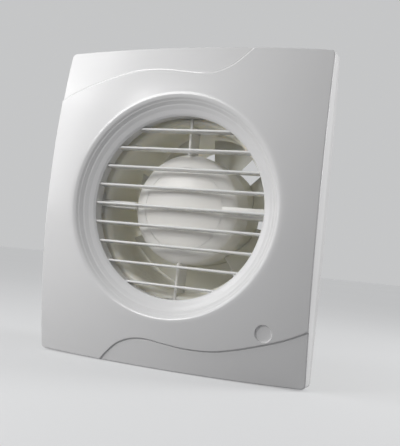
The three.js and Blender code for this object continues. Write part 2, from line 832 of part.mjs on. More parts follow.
function motorRearCover() {
  const plate = disc(housingInner - seatGap, rearCoverFrontY, housingRearY);
  const bearingHole = disc(bearingBoss + seatGap, rearCoverFrontY - 1, housingRearY + 1, roundMedium);
  const screwHoles = rearScrewBosses(rearScrewRadius + seatGap, rearCoverFrontY - 1, housingRearY + 1);
  const headY = housingRearY - rearScrewHeadHeight - seatGap;
  const headSeats = rearScrewBosses(rearScrewHeadRadius + seatGap, headY, housingRearY + 1);
  const boltHoles = [-boltX, boltX].map((x) =>
    bar(x, 0, boltHole, rearCoverFrontY - 1, rearCoverFrontY + boltEndReach + seatGap));
  return cut(plate, [bearingHole, ...screwHoles, ...headSeats, ...boltHoles]);
}

function rearCoverScrews() {
  const headY = housingRearY - rearScrewHeadHeight;
  const heads = rearScrewBosses(rearScrewHeadRadius, headY, housingRearY);
  const shanks = rearScrewBosses(rearScrewRadius, headY - rearScrewLength, headY + 0.1);
  return heads.map((head, i) => head.add(shanks[i]));
}

// Flat lid over the lead channel, with a tongue that grips the channel's sides.
function leadChannelLid() {
  const rearY = channelFrontY - seatGap;
  const half = channelArmWidth / 2 - 0.2;
  const lid = block([capHole + 0.8, lipRadius - 0.2], [rearY - channelLidThickness, rearY], [-half, half]);
  const middle = (housingRadius + armEnd) / 2;
  const tongueHalf = grooveHalf - seatGap;
  const tongueReach = [middle - channelTongueLength / 2, middle + channelTongueLength / 2];
  const tongue = block(
    tongueReach, [rearY - 0.2, rearY + channelLidTongue], [-tongueHalf, tongueHalf],
  );
  return lid.add(tongue);
}

// ---- Motor --------------------------------------------------------------------------------------

function statorOutline() {
  const [w, leg] = [coreHalfWidth, coreLegOuter];
  const right = [
    [leg, limbBottomZ], [leg, coreNeckZ], [w, coreNeckZ + (w - leg)],
    [w, coreTopZ - coreCorner], [w - coreCorner, coreTopZ],
  ];
  const left = right.map(([x, z]) => [-x, z]).reverse();
  return polygon([...right, ...left]);
}

const shadingStart = boreRadius + shadingInnerReach;
const shadingEnd = shadingStart + shadingSpan;

function statorCore() {
  const body = slab(statorOutline(), coreFrontY, coreRearY);
  const through = [coreFrontY - 1, coreRearY + 1];
  const bore = disc(boreRadius, ...through, roundMedium);
  const window = block([-coreLegInner, coreLegInner], through, [limbTopZ, windowTopZ]);
  const boltHoles = [-boltX, boltX].map((x) => bar(x, 0, boltHole, ...through));
  const slotWidth = shadingWidth + 2 * seatGap;
  const slots = shadingAngles.flatMap((angle) => [
    radialBlock([boreRadius - 1, shadingStart + shadingWidth + seatGap], through, slotWidth, angle),
    radialBlock([shadingEnd - shadingWidth - seatGap, shadingEnd + seatGap], through, slotWidth, angle),
  ]);
  return cut(body, [bore, window, ...boltHoles, ...slots]);
}

// Short-circuited copper loops round the shaded part of each pole.
function shadingRings() {
  return shadingAngles.map((angle) => {
    const y = [coreFrontY - seatGap - shadingThickness, coreRearY + seatGap + shadingThickness];
    const outer = radialBlock([shadingStart, shadingEnd], y, shadingWidth, angle);
    const inner = radialBlock(
      [shadingStart + shadingWidth, shadingEnd - shadingWidth],
      [y[0] + shadingThickness, y[1] - shadingThickness], shadingWidth + 1, angle,
    );
    return outer.subtract(inner);
  });
}

// Box round the stator's lower limb, grown on all four sides.
function limbBox(grow, halfX) {
  return block(
    [-halfX, halfX],
    [coreFrontY - grow, coreRearY + grow],
    [limbBottomZ - grow, limbTopZ + grow],
  );
}

const bobbinHalf = coreLegInner - seatGap;

function coilBobbin() {
  const tube = limbBox(seatGap + bobbinWall, bobbinHalf);
  const flange = limbBox(bobbinGrow, bobbinHalf).subtract(limbBox(bobbinGrow + 1, bobbinHalf - bobbinFlange));
  const pins = leadSides().map((side) => block(
    [bobbinHalf - bobbinFlange, bobbinHalf], [coreFrontY - bobbinGrow - 0.6, coreFrontY],
    [pinZ() + side * pinSpacing / 2 - 0.7, pinZ() + side * pinSpacing / 2 + 0.7]));
  return join([tube, flange, ...pins]).subtract(limbBox(seatGap, bobbinHalf + 1));
}

const leadSides = () => [-1, 1];
const pinZ = () => limbTopZ - 1.6;

// The wound coil, crowned between the flanges.
function coilWinding() {
  const inner = seatGap + bobbinWall + 0.05;
  const half = bobbinHalf - bobbinFlange - 0.05;
  const body = limbBox(inner + windingBuild * 0.82, half);
  const crown = limbBox(inner + windingBuild, half * 0.72);
  return body.add(crown).subtract(limbBox(inner, half + 1));
}

function bearingBracket() {
  const strapRearY = coreFrontY - seatGap - bracketStandoff;
  const strapY = [strapRearY - bracketThickness, strapRearY];
  const strap = block([-coreHalfWidth, coreHalfWidth], strapY, [-bracketHalfWidth, bracketHalfWidth]);
  const feet = [-1, 1].map((side) => {
    const ends = [side * coreHalfWidth, side * (coreHalfWidth - bracketFootLength)].sort((a, b) => a - b);
    return block(ends, [strapY[0], coreFrontY - seatGap], [-bracketHalfWidth, bracketHalfWidth]);
  });
  const boss = disc(bearingBoss, bossFrontY, strapY[1], roundMedium);
  const seat = disc(bearingSeat, bearingFrontEnd - seatGap, coreFrontY, roundMedium);
  const boltHoles = [-boltX, boltX].map((x) => bar(x, 0, boltHole, bossFrontY - 1, coreRearY));
  return cut(join([strap, ...feet, boss]), [seat, ...boltHoles]);
}

// The same shape on the other side of the stator core.
function behindCore(body) {
  return body.mirror([0, 1, 0]).translate([0, 2 * coreMidY, 0]);
}

function bearing() {
  const [front, rear] = [bearingFrontEnd, bearingRearEnd];
  const bevel = 0.6;
  return revolve([
    [shaftHole, front],
    [bearingRadius - bevel, front],
    [bearingRadius, front + bevel],
    [bearingRadius, rear - bevel],
    [bearingRadius - bevel, rear],
    [shaftHole, rear],
  ], roundMedium);
}

function thrustWasher() {
  const rearY = thrustFrontY + thrustWasherThickness;
  return tubeRing(shaftHole, thrustWasherRadius, thrustFrontY, rearY, roundMedium);
}

function motorBolts() {
  const seatY = coreFrontY - seatGap - bracketStandoff - bracketThickness - seatGap;
  return [-boltX, boltX].map((x) => bar(x, 0, boltRadius, seatY - 0.1, rearCoverFrontY + boltEndReach)
    .add(bar(x, 0, boltHeadRadius, seatY - boltHeadHeight, seatY)));
}

function rotorCore() {
  return tubeRing(shaftHole, rotorRadius, coreFrontY, coreRearY, roundMedium);
}

function rotorShaft() {
  const bevel = 0.4;
  return revolve([
    [0, shaftStartY], [shaftRadius - bevel, shaftStartY], [shaftRadius, shaftStartY + bevel],
    [shaftRadius, shaftEndY - bevel], [shaftRadius - bevel, shaftEndY], [0, shaftEndY],
  ], roundSmall);
}

// ---- Impeller -----------------------------------------------------------------------------------

function hub() {
  const corner = [90, 45, 0].map((angle) => {
    const [dr, dy] = onCircle(hubCornerRadius, angle);
    return [hubRadius - hubCornerRadius + dr, hubFrontY + hubCornerRadius - dy];
  });
  const cup = revolve([
    [0, hubFrontY],
    ...corner,
    [hubRadius, hubRearY],
    [hubRadius - hubWall, hubRearY],
    [hubRadius - hubWall, hubFrontY + hubWall],
    [0, hubFrontY + hubWall],
  ]);
  const boss = disc(hubBossRadius, hubFrontY, hubBossRearY, roundMedium);
  const ribs = [];
  for (let i = 0; i < bladeCount; i += 1) {
    ribs.push(turned(block(
      [hubBossRadius - 1, hubRadius - hubWall / 2],
      [hubFrontY + hubWall / 2, hubFrontY + hubWall + hubRibLength],
      [-hubRibWall / 2, hubRibWall / 2],
    ), bladeFirstAngle + 360 * i / bladeCount));
  }
  return join([cup, boss, ...ribs]);
}

// One twisted blade. Its sections lie on cylinders round the axis; the leading edge is at the front,
// the chord is cambered and tapers to both edges, and the blade grows shorter along Y to the tip.
function blade(middleAngle) {
  const [rootRadius, rows, columns] = [hubRadius - hubWall / 2, 3, 6];
  const sections = [];
  for (let row = 0; row <= rows; row += 1) {
    const share = row / rows;
    const radius = rootRadius + (bladeTipRadius - rootRadius) * share;
    const length = bladeRootLength + (bladeTipLength - bladeRootLength) * share;
    const startY = hubFrontY + bladeInsetAtFront + (bladeTipInset - bladeInsetAtFront) * share;
    const arc = toRadians(bladeSpanAngle) * radius;
    const slope = Math.atan2(length, arc);
    const rings = { upper: [], lower: [] };
    for (let column = 0; column <= columns; column += 1) {
      const chord = column / columns;
      const camber = bladeCamber * 4 * chord * (1 - chord);
      const half = bladeThickness * (0.22 + 1.15 * Math.sqrt(chord) * (1 - chord)) / 2;
      for (const [side, sign] of [['upper', 1], ['lower', -1]]) {
        const off = camber + sign * half;
        const along = arc * chord - arc / 2 - off * Math.sin(slope);
        const y = startY + length * chord + off * Math.cos(slope);
        const angle = toRadians(middleAngle) + along / radius;
        rings[side].push([radius * Math.cos(angle), y, radius * Math.sin(angle)]);
      }
    }
    sections.push([...rings.upper, ...rings.lower.reverse()]);
  }
  return skinStrip(sections);
}

// A skin over thin rings, each an upper row followed by the reversed lower row.
function skinStrip(rings) {
  const count = rings[0].length;
  const last = (rings.length - 1) * count;
  const triangles = [];
  for (let i = 0; i < count; i += 1) {
    const next = (i + 1) % count;
    for (let k = 0; k < last; k += count) {
      triangles.push(k + i, k + next, k + count + i, k + next, k + count + next, k + count + i);
    }
  }
  for (let i = 0; i + 1 < count / 2; i += 1) {
    const [a, b, c, d] = [i, i + 1, count - 2 - i, count - 1 - i];
    triangles.push(a, c, b, a, d, c, last + a, last + b, last + c, last + a, last + c, last + d);
  }
  const geometry = new THREE.BufferGeometry();
  geometry.setAttribute('position', new THREE.Float32BufferAttribute(rings.flat(2), 3));
  geometry.setIndex(triangles);
  return solid(geometry);
}

function impeller() {
  const blades = [];
  for (let i = 0; i < bladeCount; i += 1) blades.push(blade(bladeFirstAngle + 360 * i / bladeCount));
  const bore = disc(shaftHole, hubFrontY - 1, hubRearY + 1, roundMedium);
  return join([hub(), ...blades]).subtract(bore);
}

function impellerWasher() {
  return tubeRing(shaftHole, washerRadius, washerY, washerY + washerThickness, roundMedium);
}

function impellerNut() {
  const shape = new THREE.Shape();
  const radius = nutAcrossFlats / Math.sqrt(3);
  for (let i = 0; i < 6; i += 1) shape[i ? 'lineTo' : 'moveTo'](...onCircle(radius, 60 * i));
  shape.closePath();
  const hole = disc(shaftHole, nutY - 1, nutY + nutHeight + 1, roundMedium);
  return slab(shape, nutY, nutY + nutHeight).subtract(hole);
}

// ---- Terminal block, cable entry and leads ------------------------------------------------------

const poleX = (pole) => terminalX + (pole - (terminalPoles - 1) / 2) * terminalPitch;
const clampHalf = clampBore + clampWall;
const clampY = terminalBaseY - terminalWall - seatGap - clampHalf;

function terminalScrewPlaces() {
  const places = [];
  for (let pole = 0; pole < terminalPoles; pole += 1) {
    for (const side of [-1, 1]) places.push([poleX(pole), terminalZ + side * terminalScrewSpacing / 2]);
  }
  return places;
}

function terminalBlock() {
  const width = terminalPoles * terminalPitch;
  const body = block(
    [terminalX - width / 2, terminalX + width / 2],
    [terminalBaseY - terminalHeight, terminalBaseY],
    [terminalZ - terminalLength / 2, terminalZ + terminalLength / 2],
  );
  const tools = [bar(terminalX, terminalZ, fixingScrewRadius + seatGap, terminalBaseY - 3, 0)];
  const open = clampHalf + seatGap;
  for (let pole = 0; pole < terminalPoles; pole += 1) {
    tools.push(block(
      [poleX(pole) - open, poleX(pole) + open],
      [clampY - open, clampY + open],
      [terminalZ - terminalLength, terminalZ + terminalLength],
    ));
  }
  for (const [x, z] of terminalScrewPlaces()) {
    tools.push(bar(x, z, terminalScrewHeadRadius + seatGap, terminalBaseY - terminalHeight - 1, clampY));
  }
  const head = fixingScrewHeadRadius + seatGap;
  const headHalf = fixingHeadWidth / 2;
  const slot = block(
    [terminalX - headHalf - seatGap, terminalX + headHalf + seatGap],
    [terminalBaseY - terminalHeight - 1, terminalBaseY - fixingHeadSeat],
    [terminalZ - head, terminalZ + head],
  );
  return cut(body, [...tools, slot]);
}

function terminalClamps() {
  const clamps = [];
  for (let pole = 0; pole < terminalPoles; pole += 1) {
    const x = poleX(pole);
    const half = terminalLength / 2 - 0.6;
    const bore = disc(clampBore, -half - 1, half + 1, roundSmall)
      .rotate([90, 0, 0])
      .translate([x, clampY, terminalZ]);
    clamps.push(block([x - clampHalf, x + clampHalf], [clampY - clampHalf, clampY + clampHalf],
      [terminalZ - half, terminalZ + half]).subtract(bore));
  }
  const holes = terminalScrewPlaces().map(([x, z]) =>
    bar(x, z, terminalScrewRadius + seatGap, clampY - clampHalf - 1, clampY));
  return clamps.map((clamp) => cut(clamp, holes));
}

function terminalScrews() {
  const topY = clampY - clampHalf;
  return terminalScrewPlaces().map(([x, z]) =>
    bar(x, z, terminalScrewRadius, topY - 0.4, topY + clampWall + 0.35)
      .add(bar(x, z, terminalScrewHeadRadius, topY - 1.5, topY - 0.3)));
}

function terminalFixingScrew() {
  const headY = terminalBaseY - fixingHeadSeat;
  const head = block(
    [terminalX - fixingHeadWidth / 2, terminalX + fixingHeadWidth / 2],
    [headY - fixingHeadHeight, headY],
    [terminalZ - fixingScrewHeadRadius, terminalZ + fixingScrewHeadRadius],
  );
  return bar(terminalX, terminalZ, fixingScrewRadius, headY - 0.1, -seatGap).add(head);
}

function cableGrommet() {
  const [inner, neck, flange] = [grommetBore, grommetHole - seatGap, grommetHole + grommetFlange];
  const frontY = plateFrontY - seatGap;
  return revolve([
    [inner, frontY - 1.4], [flange - 0.6, frontY - 1.4], [flange, frontY - 0.8], [flange, frontY],
    [neck, frontY], [neck, -0.1], [inner, -0.1],
  ], roundMedium).translate([grommetX, 0, grommetZ]);
}

function cableClamp() {
  const rearY = plateFrontY - cableClampBossHeight - seatGap;
  const length = cableClampSpacing + cableClampWidth;
  const shape = roundedRectangle(cableClampWidth, length, cableClampWidth / 2 - 0.1);
  const strap = slab(shape, rearY - cableClampThickness, rearY).translate([cableClampX, 0, cableClampZ]);
  const holes = cableBossPlaces().map(([x, z]) =>
    bar(x, z, fixingScrewRadius + seatGap, rearY - cableClampThickness - 1, rearY + 1));
  const ridge = block([cableClampX - 0.6, cableClampX + 0.6], [rearY - 0.2, rearY + 0.7],
    [cableClampZ - 1.8, cableClampZ + 1.8]);
  return cut(strap, holes).add(ridge);
}

function cableClampScrews() {
  const headY = plateFrontY - cableClampBossHeight - cableClampThickness - 2 * seatGap;
  return cableBossPlaces().map(([x, z]) => bar(x, z, fixingScrewRadius, headY - 0.1, plateFrontY + 1.4)
    .add(bar(x, z, fixingScrewHeadRadius, headY - 1.4, headY)));
}

// A motor lead: from the bobbin through the housing wall, out along the channel arm, round the duct
// mouth and into its terminal clamp.
function motorLead(side) {
  const off = side * leadSpacing / 2;
  const bend = mouthRadius + 3.6 - off;
  const pole = poleX(side > 0 ? 0 : terminalPoles - 1);
  const blockFrontZ = terminalZ - terminalLength / 2;
  const insideY = coreFrontY - bobbinGrow;
  const pinHeight = pinZ() + side * pinSpacing / 2;
  const [arcX, arcZ] = onCircle(bend + 3.6 - off / 2, 22);
  const [highX, highZ] = onCircle(bend + 6 - off, 36);
  const points = [
    [bobbinHalf + leadRadius + seatGap, insideY, pinHeight],
    [coreLegInner + 4 - off, insideY, pinHeight],
    [leadHoleInner - 6 - off, insideY + 0.2, -12 + off],
    [leadHoleInner - 4 - off, insideY + 0.8, -6 + off],
    [leadHoleInner + 0.2, insideY + 1.2, off - 0.6],
    [leadHoleInner + 1.4, insideY - 0.6, off],
    [leadHoleInner + 3.6, leadY, off],
    [leadHoleInner + 5, leadY, off],
    [armEnd, leadY, off],
    [footEnd - 1, leadY, off],
    [mouthRadius + 0.8, leadY, off],
    [bend, leadY, 6 + off],
    [arcX, leadY, arcZ],
    [highX, leadY - 1, highZ],
    [pole, clampY + 0.8, blockFrontZ - 5],
    [pole, clampY, blockFrontZ - 1],
    [pole, clampY, blockFrontZ + 3],
  ];
  const places = points.map((point) => new THREE.Vector3(...point));
  const route = new THREE.CatmullRomCurve3(places, false, 'centripetal');
  return tubeAlong(route, leadRadius, 42);
}

// ---- The part -----------------------------------------------------------------------------------

piece('base_frame', baseFrame(), innerWhite);
piece('motor_housing', motorHousing(), innerWhite);
piece('motor_cap', motorCap(), innerWhite);
piece('motor_rear_cover', motorRearCover(), softWhite);
pieces('rear_cover_screw', rearCoverScrews(), zinc);
piece('lead_channel_lid', leadChannelLid(), innerWhite);
piece('stator_core', statorCore(), silicon);
pieces('shading_ring', shadingRings(), copper);
piece('coil_bobbin', coilBobbin(), nylon);
piece('coil_winding', coilWinding(), enamel);
piece('front_bearing_bracket', bearingBracket(), zinc);
piece('rear_bearing_bracket', behindCore(bearingBracket()).subtract(
  disc(shaftHole, coreRearY, housingRearY + 2, roundMedium)), zinc);
piece('front_bearing', bearing(), bronze);
piece('rear_bearing', behindCore(bearing()), bronze);
pieces('motor_bolt', motorBolts(), steel);
piece('rotor_core', rotorCore(), silicon);
piece('rotor_shaft', rotorShaft(), steel);
piece('front_thrust_washer', thrustWasher(), nylon);
piece('rear_thrust_washer', behindCore(thrustWasher()), nylon);
piece('impeller', impeller(), softWhite);
piece('impeller_washer', impellerWasher(), steel);
piece('impeller_nut', impellerNut(), brass);
piece('motor_lead_live', motorLead(1), brownLead);
piece('motor_lead_neutral', motorLead(-1), blueLead);
piece('terminal_block', terminalBlock(), paleGrey);
pieces('terminal_clamp', terminalClamps(), brass);
pieces('terminal_screw', terminalScrews(), steel);
piece('terminal_fixing_screw', terminalFixingScrew(), steel);
piece('cable_grommet', cableGrommet(), rubber);
piece('cable_clamp', cableClamp(), nylon);
pieces('cable_clamp_screw', cableClampScrews(), steel);
piece('front_cover', frontCover(), glossWhite);
piece('slat_grille', slatGrille(), glossWhite);

export default part;
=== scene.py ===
import math
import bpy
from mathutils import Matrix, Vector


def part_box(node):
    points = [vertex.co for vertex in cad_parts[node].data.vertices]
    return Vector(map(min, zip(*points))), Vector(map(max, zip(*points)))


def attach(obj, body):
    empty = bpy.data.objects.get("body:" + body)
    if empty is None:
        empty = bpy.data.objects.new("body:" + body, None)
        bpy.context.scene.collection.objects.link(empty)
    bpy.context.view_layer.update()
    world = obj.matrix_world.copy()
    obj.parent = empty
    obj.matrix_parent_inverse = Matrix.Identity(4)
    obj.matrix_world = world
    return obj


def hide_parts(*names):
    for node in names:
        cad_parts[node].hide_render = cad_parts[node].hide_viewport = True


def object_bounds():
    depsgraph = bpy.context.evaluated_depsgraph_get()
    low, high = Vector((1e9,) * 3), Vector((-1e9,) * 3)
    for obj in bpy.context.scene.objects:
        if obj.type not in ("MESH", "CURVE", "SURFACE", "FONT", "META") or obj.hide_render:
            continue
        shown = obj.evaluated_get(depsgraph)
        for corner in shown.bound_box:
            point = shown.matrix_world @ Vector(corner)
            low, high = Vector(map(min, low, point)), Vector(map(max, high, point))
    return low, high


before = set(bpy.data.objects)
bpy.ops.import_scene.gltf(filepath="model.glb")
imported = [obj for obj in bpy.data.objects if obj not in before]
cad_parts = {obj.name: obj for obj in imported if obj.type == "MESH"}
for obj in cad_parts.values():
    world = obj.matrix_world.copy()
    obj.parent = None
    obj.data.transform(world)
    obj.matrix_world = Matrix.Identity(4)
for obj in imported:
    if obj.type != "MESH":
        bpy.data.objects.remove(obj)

from types import SimpleNamespace

import bmesh
import bpy
import numpy as np
from bpy.props import FloatProperty, FloatVectorProperty, IntProperty, PointerProperty
from mathutils import Matrix, Vector
from mathutils.geometry import delaunay_2d_cdt

bl_info = {
    "name": "Extractor fan finish",
    "version": (1, 0, 0),
    "blender": (4, 5, 0),
    "location": "View3D > Sidebar > Extractor fan",
    "description": "Finished pieces, materials and studio for the packed extractor fan",
    "category": "Object",
}

# Everything below is in millimetres until a mesh is made of it.
MM = 0.001
GAP = 0.3
CAD_BOX = [list(corner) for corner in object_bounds()]


# ---- Sizes and colours ----------------------------------------------------------------------------


def length(name, description, millimetres):
    return FloatProperty(
        name=name, description=description, default=millimetres * MM, min=0.0, precision=5, unit="LENGTH"
    )


def turn(name, description, degrees):
    return FloatProperty(name=name, description=description, default=math.radians(degrees), subtype="ANGLE")


def number(name, description, value, lowest):
    return IntProperty(name=name, description=description, default=value, min=lowest)


class FanSizes(bpy.types.PropertyGroup):
    """Sizes of the finished pieces"""

    panel_width: length("Panel width", "Width of the front panel", 160.0)
    panel_height: length("Panel height", "Height of the front panel", 176.0)
    panel_edge: length("Edge depth", "Depth of the panel's side walls at its corners", 10.0)
    bulge_across: length("Bulge across", "Rise of the face from its sides to its middle", 7.0)
    bulge_up: length("Bulge up", "Rise of the face from its top and bottom to its middle", 9.0)
    band_step: length("Band step", "Height of the raised band over the corner fields", 0.8)
    band_slope: length("Band slope", "Width of the sloping edge of the raised band", 1.1)
    slat_count: number("Slats", "Number of slats in the grille", 9, 1)
    slat_pitch: length("Slat pitch", "Distance from slat to slat", 10.8)
    slat_depth: length("Slat depth", "Depth of a slat along the duct", 6.4)
    slat_tilt: turn("Slat tilt", "Slope of the slats towards the duct", 7.0)
    cap_dome: length("Cap dome", "Rise of the motor cap's face", 2.3)
    blade_count: number("Blades", "Number of impeller blades", 7, 2)
    blade_first: turn("First blade", "Angle of the first blade", 70.3)
    blade_span: turn("Blade span", "Angle that one blade covers", 43.0)
    blade_camber: length("Blade camber", "Rise of a blade's curved section", 1.6)
    coil_pitch: length("Wire pitch", "Distance from turn to turn of the coil", 0.42)


def colour(name, description, values):
    return FloatVectorProperty(
        name=name, description=description, default=values, subtype="COLOR", size=3, min=0.0, max=1.0
    )


class FanColours(bpy.types.PropertyGroup):
    """Base colours of the materials"""

    panel: colour("Panel", "Glossy white of the front cover", (0.835, 0.83, 0.83))
    slats: colour("Slats", "Glossy white of the slats and their ring", (0.92, 0.915, 0.9))
    inner: colour("Inner plastic", "White of the wall plate and duct", (0.87, 0.855, 0.775))
    housing: colour("Motor housing", "White of the motor housing and its cap", (0.9, 0.885, 0.85))
    impeller: colour("Impeller", "White of the impeller and rear cover", (0.89, 0.875, 0.79))
    block: colour("Terminal block", "Grey of the terminal block", (0.56, 0.56, 0.53))
    nylon: colour("Nylon", "Natural nylon of washers, bobbin and clamp", (0.6, 0.56, 0.46))
    core: colour("Core", "Varnished steel laminations", (0.27, 0.28, 0.3))
    zinc: colour("Zinc", "Zinc-plated steel", (0.52, 0.53, 0.53))
    steel: colour("Steel", "Bright steel", (0.62, 0.63, 0.64))
    bronze: colour("Bronze", "Sintered bronze", (0.33, 0.19, 0.08))
    brass: colour("Brass", "Turned brass", (0.55, 0.39, 0.12))
    copper: colour("Copper", "Bare copper", (0.6, 0.24, 0.12))
    enamel: colour("Enamel", "Enamelled copper wire", (0.33, 0.075, 0.02))
    rubber: colour("Rubber", "Black rubber of the grommet", (0.022, 0.022, 0.024))
    brown: colour("Brown lead", "Brown insulation", (0.1, 0.035, 0.018))
    blue: colour("Blue lead", "Blue insulation", (0.03, 0.12, 0.42))
    floor: colour("Floor", "Pale floor", (0.32, 0.322, 0.325))


# ---- Solids as vertices and faces -----------------------------------------------------------------


def on_circle(radius, degrees):
    return radius * math.cos(math.radians(degrees)), radius * math.sin(math.radians(degrees))


def filleted(profile, closed=True):
    """Points of a profile whose corners are (x, y) or (x, y, fillet radius)."""
    points = []
    count = len(profile)
    for i, corner in enumerate(profile):
        here = Vector(corner[:2])
        if len(corner) < 3 or not corner[2] or (not closed and i in (0, count - 1)):
            points.append(tuple(here))
            continue
        before, after = Vector(profile[i - 1][:2]) - here, Vector(profile[(i + 1) % count][:2]) - here
        reach = 0.49 * min(before.length, after.length)
        before.normalize()
        after.normalize()
        half = before.angle(after) / 2
        radius = min(corner[2], reach * math.tan(half))
        centre = here + (before + after).normalized() * radius / math.sin(half)
        start = here + before * radius / math.tan(half) - centre
        end = here + after * radius / math.tan(half) - centre
        turn = start.angle_signed(end)
        steps = max(2, math.ceil(abs(math.degrees(turn)) / 18))
        first = math.atan2(start.y, start.x)
        for k in range(steps + 1):
            angle = first - turn * k / steps
            points.append((centre.x + radius * math.cos(angle), centre.y + radius * math.sin(angle)))
    return points


def lathe(profile, segments=128, at=(0, 0)):
    """Closed profile of (radius, y) turned about a line along Y through (x, z)."""
    profile = filleted(profile)
    angles = np.arange(segments) * 2 * np.pi / segments
    verts = [
        (at[0] + r * c, y, at[1] + r * s) for r, y in profile for c, s in zip(np.cos(angles), np.sin(angles))
    ]
    faces = []
    for k in range(len(profile)):
        m = (k + 1) % len(profile)
        if profile[k][0] < 1e-6 and profile[m][0] < 1e-6:
            continue
        for i in range(segments):
            j = (i + 1) % segments
            faces.append((k * segments + i, k * segments + j, m * segments + j, m * segments + i))
    return verts, faces


def rod(x, z, radius, y0, y1, edge=0.2, segments=32):
    return lathe([(0, y0), (radius, y0, edge), (radius, y1, edge), (0, y1)], segments, (x, z))


def rounded_block(x, y, z, edge=0.3, steps=2):
    """Box with rounded edges between the limits of each axis."""
    bm = bmesh.new()
    size = [x[1] - x[0], y[1] - y[0], z[1] - z[0]]
    middle = Vector(((x[0] + x[1]) / 2, (y[0] + y[1]) / 2, (z[0] + z[1]) / 2))
    bmesh.ops.create_cube(bm, size=1, matrix=Matrix.Translation(middle) @ Matrix.Diagonal((*size, 1)))
    if edge:
        bmesh.ops.bevel(
            bm, geom=bm.edges[:], offset=min(edge, 0.45 * min(size)), segments=steps, profile=0.5, affect="EDGES"
        )
    made = [tuple(v.co) for v in bm.verts], [tuple(v.index for v in f.verts) for f in bm.faces]
    bm.free()
    return made


def spun(solid, degrees):
    """Turned about the duct axis, from +X towards +Z."""
    c, s = math.cos(math.radians(degrees)), math.sin(math.radians(degrees))
    return [(x * c - z * s, y, x * s + z * c) for x, y, z in solid[0]], solid[1]


def shifted(solid, dx=0.0, dy=0.0, dz=0.0):
    return [(x + dx, y + dy, z + dz) for x, y, z in solid[0]], solid[1]


def ring_faces(rings, count):
    """Faces between rings of points that follow one another, each of the same count."""
    return [
        (k * count + i, k * count + (i + 1) % count, (k + 1) * count + (i + 1) % count, (k + 1) * count + i)
        for k in range(rings - 1)
        for i in range(count)
    ]


def outline_solid(points, y0, y1, edge=0.0):
    """Convex or concave outline of (x, z) points made solid, its rims rounded inwards towards its middle."""
    loops = [(0, y0)]
    if edge:
        bends = [(1 - math.sin(math.radians(a)), 1 - math.cos(math.radians(a))) for a in (0, 45, 90)]
        loops = [(edge * inwards, y0 + edge * along) for inwards, along in bends]
    if edge:
        loops += [(edge * along, y1 - edge * inwards) for inwards, along in bends]
    else:
        loops.append((0, y1))
    count = len(points)
    verts = [(x, y, z) for inset, y in loops for x, z in offset_outline(points, inset)]
    faces = ring_faces(len(loops), count)
    faces.append(tuple(range(count)))
    faces.append(tuple(range((len(loops) - 1) * count, len(loops) * count)))
    return verts, faces


def offset_outline(points, inset):
    """The outline's points moved inwards along their own normals."""
    if not inset:
        return points
    around = np.array(points)
    edge = np.roll(around, -1, 0) - np.roll(around, 1, 0)
    normal = np.stack([-edge[:, 1], edge[:, 0]], 1) / np.linalg.norm(edge, axis=1)[:, None]
    area = np.sum(around[:, 0] * np.roll(around[:, 1], -1) - np.roll(around[:, 0], -1) * around[:, 1])
    return [tuple(p) for p in around + normal * inset * (1 if area > 0 else -1)]


def rounded_rectangle(width, height, radius, steps=8):
    points = []
    for quarter, (sx, sz) in enumerate([(1, 1), (-1, 1), (-1, -1), (1, -1)]):
        for i in range(steps + 1):
            dx, dz = on_circle(radius, 90 * (quarter + i / steps))
            points.append((sx * (width / 2 - radius) + dx, sz * (height / 2 - radius) + dz))
    return points


def tube(points, radius, sides=12):
    """Round tube along a smooth line through the points."""
    line = smooth_line(points, 8)
    verts = []
    up = Vector((0, 0, 1))
    for i, here in enumerate(line):
        ahead = (line[min(i + 1, len(line) - 1)] - line[max(i - 1, 0)]).normalized()
        across = ahead.cross(up)
        if across.length < 0.2:
            across = ahead.cross(Vector((0, 1, 0)))
        across.normalize()
        up = across.cross(ahead).normalized()
        for k in range(sides):
            c, s = on_circle(radius, 360 * k / sides)
            verts.append(tuple(here + across * c + up * s))
    faces = ring_faces(len(line), sides)
    faces.append(tuple(range(sides)))
    faces.append(tuple(range(len(verts) - sides, len(verts))))
    return verts, faces


def smooth_line(points, steps):
    """Centripetal Catmull-Rom line through the points."""
    places = [Vector(p) for p in points]
    places = [2 * places[0] - places[1], *places, 2 * places[-1] - places[-2]]
    line = []
    for a, b, c, d in zip(places, places[1:], places[2:], places[3:]):
        ta = 0.0
        tb = ta + (b - a).length ** 0.5
        tc = tb + (c - b).length ** 0.5
        td = tc + (d - c).length ** 0.5
        for k in range(steps):
            t = tb + (tc - tb) * k / steps
            ab = a.lerp(b, (t - ta) / (tb - ta))
            bc = b.lerp(c, (t - tb) / (tc - tb))
            cd = c.lerp(d, (t - tc) / (td - tc))
            abc = ab.lerp(bc, (t - ta) / (tc - ta))
            bcd = bc.lerp(cd, (t - tb) / (td - tb))
            line.append(abc.lerp(bcd, (t - tb) / (tc - tb)))
    return [*line, places[-2]]


# ---- Objects --------------------------------------------------------------------------------------


def object_of(name, solids, sharp=38.0):
    """One mesh object of several closed shells, faces out, smooth up to an angle."""
    bm = bmesh.new()
    for verts, faces in solids:
        made = [bm.verts.new((x * MM, y * MM, z * MM)) for x, y, z in verts]
        for face in faces:
            bm.faces.new([made[i] for i in face])
    bmesh.ops.remove_doubles(bm, verts=bm.verts, dist=2e-6)
    bmesh.ops.dissolve_degenerate(bm, edges=bm.edges, dist=1e-7)
    bmesh.ops.recalc_face_normals(bm, faces=bm.faces)
    obj = bpy.data.objects.new(name, bpy.data.meshes.new(name))
    bm.to_mesh(obj.data)
    bm.free()
    bpy.context.scene.collection.objects.link(obj)
    soften(obj, sharp)
    return obj


def soften(obj, sharp):
    """Smooth shading, with edges past the angle kept sharp."""
    bm = bmesh.new()
    bm.from_mesh(obj.data)
    limit = math.radians(sharp)
    for face in bm.faces:
        face.smooth = True
    for edge in bm.edges:
        edge.smooth = len(edge.link_faces) != 2 or edge.calc_face_angle(0) < limit
    bm.to_mesh(obj.data)
    bm.free()


